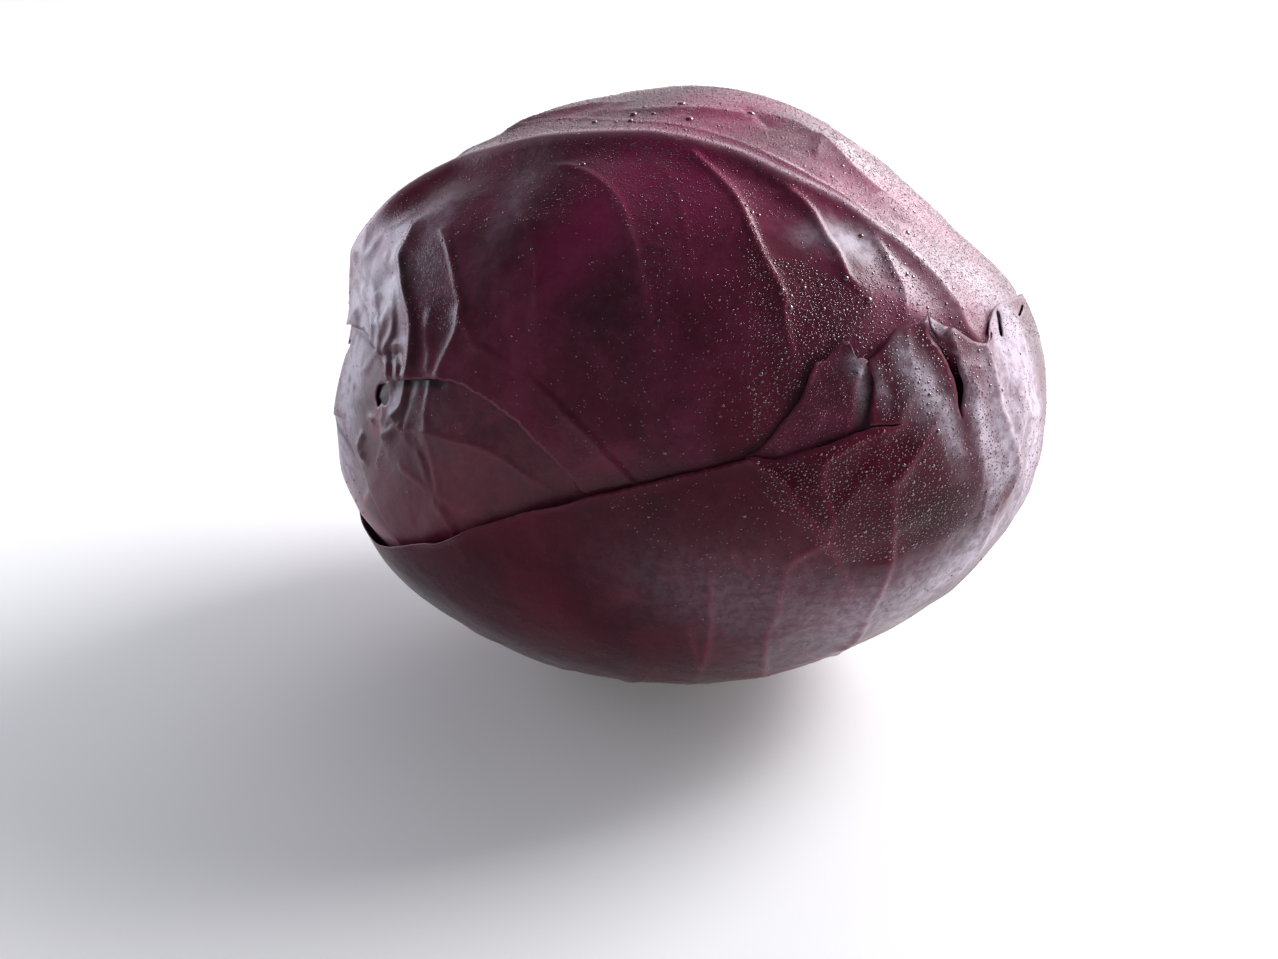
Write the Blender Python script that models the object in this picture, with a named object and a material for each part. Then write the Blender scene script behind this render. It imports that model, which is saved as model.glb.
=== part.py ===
"""Red cabbage, a whole head lying on its side.

Metres, +Z up.  The stem axis lies along X: the cut stump is at -X and the
closed tip of the head at +X.  -Y is the front.  The head rests on a small
flat spot at z = 0, where its weight has pressed the lowest leaf flat.

Every leaf is a thin closed shell wrapped on the same body shape, each one a
layer further out than the leaf it lies on.
"""

import math

import bmesh
import bpy
import numpy as np
from mathutils import Vector
from mathutils.geometry import delaunay_2d_cdt

MM = 0.001

# ------------------------------------------------------------------ sizes, mm
CENTRE = (-2.27, 2.36, 72.8)   # middle of the head above its resting spot
STEM_HALF = 89.0               # middle to the stem end, along X
TIP_HALF = 92.5                # middle to the tip, along X
BELLY = 75.0                   # radius across the axis
HOLLOW_DEPTH = 6.0             # shallow hollow round the stump
HOLLOW_SPREAD = 0.30           # its angular width, radians
LAYER = 0.95                   # from one leaf's outer face to the next leaf's
SKIN = 0.55                    # thickness of a leaf
LAYERS = 5
HEAD_IN = 5.2                  # the tight head lies this far inside the outer face
STUMP_RADIUS = 14.5
STUMP_TOP = 84.5               # middle to the cut face of the stump, along X
PITCH = 8.3                    # spacing of the surface points

# the outline as seen from the front right, a little above: radius every 15 degrees
# anticlockwise from the right
SIDE_VIEW = (30.0, 25.0)       # azimuth and elevation of that view, degrees
EYE = 756.0                    # distance of the eye in that view
OUTLINE = (85.7, 84.7, 76.1, 73.3, 73.9, 75.4, 76.1, 76.2, 80.0, 83.2, 91.5, 91.4,
           90.9, 92.3, 90.0, 83.2, 79.0, 75.8, 74.2, 74.0, 74.7, 77.4, 81.8, 85.5)

AZ, EL = (math.radians(a) for a in SIDE_VIEW)
TOWARDS = np.array((math.sin(AZ) * math.cos(EL), -math.cos(AZ) * math.cos(EL), math.sin(EL)))
RIGHT = np.array((math.cos(AZ), math.sin(AZ), 0.0))
UP = np.array((-math.sin(EL) * math.sin(AZ), math.sin(EL) * math.cos(AZ), math.cos(EL)))


# ------------------------------------------------------------------ body shape
def unit(v):
    v = np.asarray(v, float)
    return v / np.linalg.norm(v, axis=-1, keepdims=True)


def outline(angle):
    """Smooth closed curve through OUTLINE, angle in radians."""
    table = np.array(OUTLINE)
    n = len(table)
    t = np.mod(np.asarray(angle) / (2 * math.pi) * n, n)
    i = np.floor(t).astype(int)
    f = t - i
    p0, p1, p2, p3 = (table[(i + k) % n] for k in (-1, 0, 1, 2))
    return p1 + 0.5 * f * (p2 - p0 + f * (2 * p0 - 5 * p1 + 4 * p2 - p3 + f * (3 * (p1 - p2) + p3 - p0)))


def egg(d):
    """Radius of the plain egg, a turned shape about X."""
    x, s = np.abs(d[..., 0]), np.hypot(d[..., 1], d[..., 2])
    stem = d[..., 0] < 0
    half = np.where(stem, STEM_HALF, TIP_HALF)
    p = np.where(stem, 2.2, 2.05)
    return ((x / half) ** p + (s / BELLY) ** p) ** (-1 / p)


def body(d):
    """Radius of the head's outer face in direction d, in mm."""
    d = unit(d)
    c = d @ TOWARDS
    angle = np.arctan2(d @ UP, d @ RIGHT)
    limb = np.cos(angle)[..., None] * RIGHT + np.sin(angle)[..., None] * UP
    k = outline(angle) / egg(limb)
    r = egg(d) * (1 + (1 - c * c) ** 2 * (k - 1))
    from_stem = np.arccos(np.clip(-d[..., 0], -1, 1))
    return r - HOLLOW_DEPTH * np.exp(-((from_stem / HOLLOW_SPREAD) ** 2))


def surface(d, inset):
    """Points of the layer that lies inset mm inside the outer face, in metres."""
    d = unit(d)
    r = body(d) - inset
    down = np.minimum(d[..., 2], -1e-9)
    r = np.where(d[..., 2] < 0, np.minimum(r, (CENTRE[2] - inset) / -down), r)
    return (np.array(CENTRE) + d * r[..., None]) * MM


def ring(theta, psi):
    """Direction at theta degrees from the stump, psi degrees round the stem axis:
    0 is the top, 90 the front, 180 the bottom and 270 the back."""
    t, p = math.radians(theta), math.radians(psi)
    return np.array((-math.cos(t), -math.sin(t) * math.sin(p), math.sin(t) * math.cos(p)))


def seen(u, v):
    """Direction of the surface point that the side view shows u mm right and v mm above the middle."""
    eye = TOWARDS * EYE
    ray = unit(RIGHT * u + UP * v - eye)
    t = np.linspace(EYE - 105, EYE + 20, 500)
    x = eye + t[:, None] * ray
    gap = np.linalg.norm(x, axis=1) - body(x)
    inside = np.flatnonzero(gap <= 0)
    return unit(x[inside[0] if len(inside) else int(np.argmin(gap))])


# ------------------------------------------------------------------ charts
class Chart:
    """Stereographic map round the direction mid, which keeps triangles' shapes."""

    def __init__(self, mid):
        self.k = unit(mid)
        side = np.array((0.0, 0.0, 1.0)) if abs(self.k[2]) < 0.8 else np.array((1.0, 0.0, 0.0))
        self.i = unit(np.cross(side, self.k))
        self.j = np.cross(self.k, self.i)

    def flat(self, d):
        d = unit(d)
        w = 150.0 / np.maximum(1 + d @ self.k, 1e-6)
        return np.stack((w * (d @ self.i), w * (d @ self.j)), -1)

    def round(self, p):
        a, b = p[..., 0] / 150.0, p[..., 1] / 150.0
        q = a * a + b * b
        z = (1 - q) / (1 + q)
        return (a * (1 + z))[..., None] * self.i + (b * (1 + z))[..., None] * self.j + z[..., None] * self.k


def within(points, loop):
    """Which points lie inside the closed loop, both in a chart."""
    x, y = points[:, 0][:, None], points[:, 1][:, None]
    a, b = loop, np.roll(loop, -1, axis=0)
    cross = (a[:, 1] > y) != (b[:, 1] > y)
    with np.errstate(divide="ignore", invalid="ignore"):
        at = (b[:, 0] - a[:, 0]) * (y - a[:, 1]) / (b[:, 1] - a[:, 1]) + a[:, 0]
    return (cross & (x < at)).sum(axis=1) % 2 == 1


def smooth_loop(directions, sharp, step):
    """A closed curve through the directions, rounded except at the sharp ones."""
    p = np.array(directions)
    n = len(p)
    out = []
    for i in range(n):
        a, b = p[i], p[(i + 1) % n]
        before = p[(i - 1) % n] if i not in sharp else a
        after = p[(i + 2) % n] if (i + 1) % n not in sharp else b
        length = np.linalg.norm(b - a) * 80.0
        count = max(1, int(round(length / step)))
        for f in np.arange(count) / count:
            q = a + 0.5 * f * (b - before + f * (2 * before - 5 * a + 4 * b - after
                                                 + f * (3 * (a - b) + after - before)))
            out.append(q)
    return unit(np.array(out))


def lattice(pitch):
    """Evenly spread directions, pitch mm apart on the belly."""
    n = int(4 * math.pi * 80.0 ** 2 / (0.866 * pitch * pitch))
    i = np.arange(n) + 0.5
    z = 1 - 2 * i / n
    a = i * math.pi * (3 - math.sqrt(5))
    s = np.sqrt(1 - z * z)
    # the spiral's poles point along Y, away from the resting spot and the stump
    return np.stack((s * np.cos(a), z, s * np.sin(a)), -1)


def foot_ring():
    """Directions round the edge of the resting spot and inside it."""
    out = [(0.0, 0.0, -1.0)]
    for k in range(16):
        a = 2 * math.pi * k / 16
        lo, hi = 0.0, 40.0
        way = np.array((math.cos(a), math.sin(a), 0.0))
        for _ in range(40):
            mid = (lo + hi) / 2
            d = unit(way * mid - np.array((0, 0, CENTRE[2])))
            if body(d) * -d[2] > CENTRE[2]:
                lo = mid
            else:
                hi = mid
        out.append(tuple(unit(way * lo - np.array((0, 0, CENTRE[2])))))
        if k % 2 == 0:
            out.append(tuple(unit(way * lo * 0.5 - np.array((0, 0, CENTRE[2])))))
    return np.array(out)


FOOT = foot_ring()
GRID = lattice(PITCH)
foot_reach = max(np.arccos(np.clip(-FOOT[:, 2], -1, 1)))
far = np.array([np.min(np.arccos(np.clip(FOOT @ g, -1, 1))) for g in GRID])
GRID = np.concatenate((GRID[(far > 0.6 * PITCH / 80.0)
                            & (np.arccos(np.clip(-GRID[:, 2], -1, 1)) > foot_reach * 0.8)], FOOT))


# ------------------------------------------------------------------ making objects
def material(name, colour, roughness):
    m = bpy.data.materials.new(name)
    m.use_nodes = True
    b = m.node_tree.nodes["Principled BSDF"]
    b.inputs["Base Color"].default_value = (*colour, 1.0)
    b.inputs["Roughness"].default_value = roughness
    b.inputs["Metallic"].default_value = 0.0
    return m


def add(name, verts, faces, mat):
    mesh = bpy.data.meshes.new(name)
    mesh.from_pydata([tuple(map(float, v)) for v in verts], [], [tuple(map(int, f)) for f in faces])
    bm = bmesh.new()
    bm.from_mesh(mesh)
    bmesh.ops.recalc_face_normals(bm, faces=bm.faces)
    bmesh.ops.triangulate(bm, faces=bm.faces)
    bm.to_mesh(mesh)
    bm.free()
    mesh.materials.append(mat)
    mesh.shade_smooth()
    mesh.set_sharp_from_angle(angle=math.radians(40))
    ob = bpy.data.objects.new(name, mesh)
    bpy.context.scene.collection.objects.link(ob)
    ob.parent = ROOT
    return ob


def leaf(name, points, layer, mat, sharp=(), step=PITCH * 0.85):
    """A leaf as a closed shell: its margin through the points, on the given layer from inside."""
    loop = smooth_loop(points, set(sharp), step)
    chart = Chart(loop.mean(axis=0))
    edge = chart.flat(loop)
    cand = chart.flat(GRID)
    keep = within(cand, edge) & (GRID @ chart.k > -0.7)
    cand, dirs = cand[keep], GRID[keep]
    clear = np.array([np.min(np.linalg.norm(loop - d, axis=1)) * 80.0 for d in dirs]) > 0.5 * PITCH
    cand = cand[clear]
    n = len(edge)
    pts = np.concatenate((edge, cand))
    out = delaunay_2d_cdt([Vector(p) for p in pts], [(i, (i + 1) % n) for i in range(n)], [], 0, 1e-7)
    flat = np.array([tuple(v) for v in out[0]])
    tris = np.array(out[2])
    tris = tris[within(flat[tris].mean(axis=1), edge)]
    used = np.unique(tris)
    remap = -np.ones(len(flat), int)
    remap[used] = np.arange(len(used))
    flat, tris = flat[used], remap[tris]
    d = chart.round(flat)
    inset = (LAYERS - layer) * LAYER
    outer, inner = surface(d, inset), surface(d, inset + SKIN)
    m = len(d)
    directed = {(a, b) for t in tris for a, b in ((t[0], t[1]), (t[1], t[2]), (t[2], t[0]))}
    rim = [(a, b) for a, b in directed if (b, a) not in directed]
    faces = [tuple(t) for t in tris] + [tuple(t[::-1] + m) for t in tris]
    for a, b in rim:
        faces += [(b, a, a + m), (b, a + m, b + m)]
    return add(name, np.concatenate((outer, inner)), faces, mat)


# ------------------------------------------------------------------ start
for ob in list(bpy.data.objects):
    bpy.data.objects.remove(ob)

ROOT = bpy.data.objects.new("cabbage_root", None)
bpy.context.scene.collection.objects.link(ROOT)

MAROON = material("leaf_maroon", (0.110, 0.022, 0.045), 0.42)
DEEP = material("leaf_deep", (0.085, 0.018, 0.040), 0.40)
BLOOM = material("leaf_bloom", (0.300, 0.200, 0.290), 0.55)
PALE = material("leaf_pale", (0.360, 0.260, 0.330), 0.55)
VIOLET = material("leaf_violet", (0.160, 0.045, 0.095), 0.45)
CREAM = material("stem_cream", (0.780, 0.720, 0.560), 0.60)

# ------------------------------------------------------------------ the tight head
bm = bmesh.new()
for g in GRID:
    bm.verts.new(Vector(g))
hull = bmesh.ops.convex_hull(bm, input=bm.verts)
bm.verts.ensure_lookup_table()
dirs = np.array([tuple(v.co) for v in bm.verts])
tri = [tuple(v.index for v in f.verts) for f in bm.faces]
bm.free()
add("head", surface(dirs, HEAD_IN), tri, VIOLET)

# ------------------------------------------------------------------ the cut stump
near = GRID[np.arccos(np.clip(-GRID[:, 0], -1, 1)) < 0.32]
seat = float((surface(near, HEAD_IN)[:, 0] / MM - CENTRE[0]).min()) - 0.4
profile = [(seat, 0.0), (seat, STUMP_RADIUS), (-STUMP_TOP + 1.0, STUMP_RADIUS),
           (-STUMP_TOP, STUMP_RADIUS - 1.0), (-STUMP_TOP, 0.0)]
verts, faces, SIDES = [], [], 32
for x, s in profile:
    count = 1 if s == 0 else SIDES
    for k in range(count):
        a = 2 * math.pi * k / SIDES
        verts.append(((CENTRE[0] + x) * MM, (CENTRE[1] + s * math.cos(a)) * MM, (CENTRE[2] + s * math.sin(a)) * MM))
first, last = 0, len(verts) - 1
for k in range(SIDES):
    n = (k + 1) % SIDES
    faces.append((first, 1 + n, 1 + k))
    for r in range(2):
        a, b = 1 + r * SIDES, 1 + (r + 1) * SIDES
        faces += [(a + k, a + n, b + n), (a + k, b + n, b + k)]
    faces.append((1 + 2 * SIDES + k, 1 + 2 * SIDES + n, last))
add("stem_stump", verts, faces, CREAM)

# ------------------------------------------------------------------ the leaves, inside ones first
leaf("leaf_back_upper", [ring(12, -95), ring(12, -60), ring(14, -25), ring(28, -18), ring(48, -24), ring(75, -28),
                         ring(100, -38), ring(122, -48), ring(142, -60), ring(156, -85), ring(156, -125),
                         ring(138, -128), ring(112, -116), ring(82, -112), ring(52, -110), ring(26, -106)],
     1, DEEP)
leaf("leaf_back_lower", [ring(12, -165), ring(12, -125), ring(13, -80), ring(28, -82), ring(50, -88), ring(75, -92),
                         ring(100, -95), ring(122, -100), ring(142, -112), ring(152, -140), ring(142, -165),
                         ring(115, -160), ring(85, -156), ring(55, -160), ring(30, -172)],
     2, MAROON)
leaf("leaf_lower_left", [ring(12, 150), ring(12, 110), ring(13, 78), ring(24, 66), ring(36, 66), seen(-72.5, -4),
                         seen(-62, -30), seen(-50, -50), seen(-38, -58), seen(-30, -64), ring(66, 150),
                         ring(44, 160), ring(24, 165)],
     1, PALE)
leaf("leaf_front_left", [ring(12, 84), ring(12, 52), ring(25, 52), ring(36, 56), seen(-67, 14), seen(-52, 9),
                         seen(-38, 0), seen(-22, -16), seen(-10, -30), seen(-6, -48), seen(-22, -58),
                         seen(-44, -58), seen(-62, -50), seen(-74, -38), seen(-82, -21.5), seen(-85.5, -10),
                         seen(-86.5, 0), seen(-85, 7), ring(18, 84)],
     2, BLOOM)
leaf("leaf_top", [ring(12, 58), ring(12, 28), ring(13, -6), ring(24, -20), ring(38, -32), ring(56, -38),
                  ring(80, -44), ring(104, -56), ring(124, -68), ring(146, -88), ring(160, -110),
                  seen(84, -2), seen(74, -14), seen(58, -22), seen(42, -30), seen(18, -36), seen(-6, -42),
                  seen(-22, -32.5), seen(-32.5, -21), seen(-42.5, -11), seen(-52, -3), seen(-61.2, 0.6),
                  seen(-71.5, 0.6), seen(-76.5, 1), seen(-77.5, 5), seen(-80.5, 10), seen(-84.5, 14),
                  seen(-87, 14.7), ring(19, 66)],
     3, MAROON, sharp=(23, 27))
leaf("leaf_front_torn", [seen(14, -16), seen(18, -13.5), seen(26, -5), seen(29.5, 1), seen(31.5, 7), seen(38.7, 11.4),
                         seen(44, 6), seen(47, 0), seen(48, -10), seen(47, -26), seen(36, -34), seen(20, -32)],
     4, DEEP, sharp=(5,), step=5.0)
leaf("leaf_front", [ring(12, 192), ring(12, 150), ring(24, 132), ring(38, 126), seen(-79, -40), seen(-72, -41),
                    seen(-62, -38.7), seen(-50, -35), seen(-37, -31), seen(-25, -28), seen(-12, -25),
                    seen(0, -22), seen(12, -19), seen(24, -17), seen(36, -13.5), seen(45, -10),
                    seen(46, -1), seen(44.5, 4), seen(50, 14), seen(59, 18.6),
                    seen(61, 14), seen(65, 4), seen(67, -5), seen(68.2, -5), seen(67, 6), seen(63, 13.5),
                    seen(66, 14.6), seen(72, 10.4), seen(77, 13), seen(82.5, 20), ring(141, -69),
                    ring(132, -97), ring(118, -113), ring(98, -124), ring(74, -129), ring(50, -132),
                    ring(30, -145)],
     5, DEEP, sharp=(15, 19, 22, 23, 25))
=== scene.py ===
"""Red cabbage: the looks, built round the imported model."""

import math

import bmesh
import bpy
import numpy as np
from mathutils import Matrix, Vector
from mathutils.geometry import delaunay_2d_cdt


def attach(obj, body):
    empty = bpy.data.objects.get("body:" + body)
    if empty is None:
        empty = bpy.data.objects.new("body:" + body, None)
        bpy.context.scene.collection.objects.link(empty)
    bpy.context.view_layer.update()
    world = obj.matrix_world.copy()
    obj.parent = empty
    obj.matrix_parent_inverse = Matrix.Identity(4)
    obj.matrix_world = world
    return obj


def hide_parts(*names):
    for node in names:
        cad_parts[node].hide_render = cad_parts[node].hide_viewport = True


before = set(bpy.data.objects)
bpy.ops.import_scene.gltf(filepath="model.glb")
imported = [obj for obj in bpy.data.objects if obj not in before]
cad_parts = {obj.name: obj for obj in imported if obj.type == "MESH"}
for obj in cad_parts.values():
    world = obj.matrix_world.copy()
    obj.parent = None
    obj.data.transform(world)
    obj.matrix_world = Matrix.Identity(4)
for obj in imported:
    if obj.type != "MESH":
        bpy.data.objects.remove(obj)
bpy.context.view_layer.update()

# ------------------------------------------------------------------ sizes in mm, as in the CAD model
CENTRE = np.array((-2.27, 2.36, 72.8))
STEM_HALF, TIP_HALF, BELLY = 89.0, 92.5, 75.0
HOLLOW_DEPTH, HOLLOW_SPREAD = 6.0, 0.30
SIDE_VIEW = (30.0, 25.0)
EYE = 756.0
OUTLINE = np.array((86.3, 83.8, 76.1, 73.4, 73.5, 74.9, 75.8, 75.9, 79.3, 81.2, 88.2, 88.8,
                    88.5, 89.6, 88.4, 83.6, 79.2, 75.8, 73.6, 73.2, 74.0, 77.4, 80.9, 85.9))
STUMP_RADIUS, STUMP_TOP = 14.5, 84.5

AZ, EL = (math.radians(a) for a in SIDE_VIEW)
TOWARDS = np.array((math.sin(AZ) * math.cos(EL), -math.cos(AZ) * math.cos(EL), math.sin(EL)))
RIGHT = np.array((math.cos(AZ), math.sin(AZ), 0.0))
UP = np.array((-math.sin(EL) * math.sin(AZ), math.sin(EL) * math.cos(AZ), math.cos(EL)))

# the photograph: its frame, where the middle of the head is in it, and the lens
FRAME_W, FRAME_H = 1278, 959
MIDDLE_PX = (690.0, 385.0)
LENS, SENSOR = 85.0, 36.0
PX_PER_MM = LENS / SENSOR * FRAME_W / EYE


# ------------------------------------------------------------------ the body's shape
def unit(v):
    v = np.asarray(v, float)
    return v / np.linalg.norm(v, axis=-1, keepdims=True)


def outline(angle):
    n = len(OUTLINE)
    t = np.mod(np.asarray(angle) / (2 * math.pi) * n, n)
    i = np.floor(t).astype(int)
    f = t - i
    p0, p1, p2, p3 = (OUTLINE[(i + k) % n] for k in (-1, 0, 1, 2))
    return p1 + 0.5 * f * (p2 - p0 + f * (2 * p0 - 5 * p1 + 4 * p2 - p3 + f * (3 * (p1 - p2) + p3 - p0)))


def egg(d):
    x, s = np.abs(d[..., 0]), np.hypot(d[..., 1], d[..., 2])
    stem = d[..., 0] < 0
    half = np.where(stem, STEM_HALF, TIP_HALF)
    p = np.where(stem, 2.2, 2.05)
    return ((x / half) ** p + (s / BELLY) ** p) ** (-1 / p)


def body(d):
    d = unit(d)
    c = d @ TOWARDS
    angle = np.arctan2(d @ UP, d @ RIGHT)
    limb = np.cos(angle)[..., None] * RIGHT + np.sin(angle)[..., None] * UP
    k = outline(angle) / egg(limb)
    r = egg(d) * (1 + (1 - c * c) ** 2 * (k - 1))
    from_stem = np.arccos(np.clip(-d[..., 0], -1, 1))
    return r - HOLLOW_DEPTH * np.exp(-((from_stem / HOLLOW_SPREAD) ** 2))


def ring(theta, psi):
    """Direction theta degrees from the stump, psi degrees round: 0 top, 90 front, 180 bottom, 270 back."""
    t, p = math.radians(theta), math.radians(psi)
    return np.array((-math.cos(t), -math.sin(t) * math.sin(p), math.sin(t) * math.cos(p)))


def seen(px, py, inset=0.0):
    """Direction of the surface point at a pixel of the photograph."""
    u, v = (px - MIDDLE_PX[0]) / PX_PER_MM, (MIDDLE_PX[1] - py) / PX_PER_MM
    eye = TOWARDS * EYE
    ray = unit(RIGHT * u + UP * v - eye)
    t = np.linspace(EYE - 105, EYE + 20, 600)
    x = eye + t[:, None] * ray
    gap = np.linalg.norm(x, axis=1) - (body(x) - inset)
    inside = np.flatnonzero(gap <= 0)
    return unit(x[inside[0] if len(inside) else int(np.argmin(gap))])


def way(*items, inset=1.0):
    """Directions from a mixed list: (px, py) or (px, py, inset) pixels, or arrays that are directions already."""
    return np.array([seen(q[0], q[1], q[2] if len(q) == 3 else inset) if isinstance(q, tuple) else q for q in items])


def curve(points, step=0.9, closed=False, sharp=()):
    """A smooth dense line through directions, step mm apart."""
    p = np.array(points)
    n = len(p)
    out = []
    for i in range(n if closed else n - 1):
        a, b = p[i], p[(i + 1) % n]
        if closed:
            before, after = p[(i - 1) % n], p[(i + 2) % n]
        else:
            before, after = p[max(i - 1, 0)], p[min(i + 2, n - 1)]
        if i in sharp:
            before = a
        if (i + 1) % n in sharp:
            after = b
        count = max(1, int(round(np.linalg.norm(b - a) * 80.0 / step)))
        f = (np.arange(count) / count)[:, None]
        out.append(a + 0.5 * f * (b - before + f * (2 * before - 5 * a + 4 * b - after
                                                   + f * (3 * (a - b) + after - before))))
    if not closed:
        out.append(p[-1:])
    return unit(np.concatenate(out))


def wobble(t, seed, size):
    """Smooth noise along a line, t in mm."""
    rng = np.random.default_rng(seed)
    out = np.zeros_like(t)
    for k in range(6):
        length = 22.0 / 1.8 ** k
        out += size * 0.75 ** k * np.sin(t / length * 2 * math.pi * rng.uniform(0.8, 1.2) + rng.uniform(0, 6.3))
    return out


def smoothstep(x, a, b):
    t = np.clip((x - a) / (b - a), 0, 1)
    return t * t * (3 - 2 * t)


def lattice(pitch):
    n = int(4 * math.pi * 80.0 ** 2 / (0.866 * pitch * pitch))
    i = np.arange(n) + 0.5
    z = 1 - 2 * i / n
    a = i * math.pi * (3 - math.sqrt(5))
    s = np.sqrt(1 - z * z)
    return np.stack((s * np.cos(a), z, s * np.sin(a)), -1)


# ------------------------------------------------------------------ smooth noise in space
class Noise:
    """Gradient-like value noise, smooth, about -1 to 1."""

    def __init__(self, seed):
        self.table = np.random.default_rng(seed).uniform(-1, 1, (32, 32, 32)).astype(np.float32)

    def __call__(self, p):
        i = np.floor(p).astype(int)
        f = p - i
        f = f * f * (3 - 2 * f)
        out = 0
        for dx in (0, 1):
            for dy in (0, 1):
                for dz in (0, 1):
                    w = (f[..., 0] if dx else 1 - f[..., 0]) * (f[..., 1] if dy else 1 - f[..., 1]) \
                        * (f[..., 2] if dz else 1 - f[..., 2])
                    out = out + w * self.table[(i[..., 0] + dx) % 32, (i[..., 1] + dy) % 32, (i[..., 2] + dz) % 32]
        return out


NOISE = Noise(7)


def fractal(p, scale, octaves=3, seed=0):
    """Layered noise; scale is the size in mm of the largest lumps."""
    out, amp = 0, 1.0
    for k in range(octaves):
        out = out + amp * NOISE(p / scale * 2.03 ** k + seed * 3.7 + 11.3 * k)
        amp *= 0.5
    return out


# ------------------------------------------------------------------ charts and rasters
class Chart:
    """Stereographic map round the direction mid."""

    def __init__(self, mid):
        self.k = unit(mid)
        side = np.array((0.0, 0.0, 1.0)) if abs(self.k[2]) < 0.8 else np.array((1.0, 0.0, 0.0))
        self.i = unit(np.cross(side, self.k))
        self.j = np.cross(self.k, self.i)

    def flat(self, d):
        w = 150.0 / np.maximum(1 + d @ self.k, 1e-3)
        return np.stack((w * (d @ self.i), w * (d @ self.j)), -1)

    def round(self, p):
        a, b = p[..., 0] / 150.0, p[..., 1] / 150.0
        q = a * a + b * b
        z = (1 - q) / (1 + q)
        return (a * (1 + z))[..., None] * self.i + (b * (1 + z))[..., None] * self.j + z[..., None] * self.k

    @staticmethod
    def true_mm(p):
        """Real mm for one mm of the chart at p."""
        q = (p[..., 0] ** 2 + p[..., 1] ** 2) / 22500.0
        return 80.0 / (75.0 * (1 + q))


def parity(points, loop):
    """Inside test for a modest number of points."""
    out = np.zeros(len(points), bool)
    a, b = loop, np.roll(loop, -1, axis=0)
    for s in range(0, len(points), 4000):
        x, y = points[s:s + 4000, 0][:, None], points[s:s + 4000, 1][:, None]
        cross = (a[:, 1] > y) != (b[:, 1] > y)
        with np.errstate(divide="ignore", invalid="ignore"):
            at = (b[:, 0] - a[:, 0]) * (y - a[:, 1]) / (b[:, 1] - a[:, 1]) + a[:, 0]
        out[s:s + 4000] = (cross & (x < at)).sum(axis=1) % 2 == 1
    return out


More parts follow.
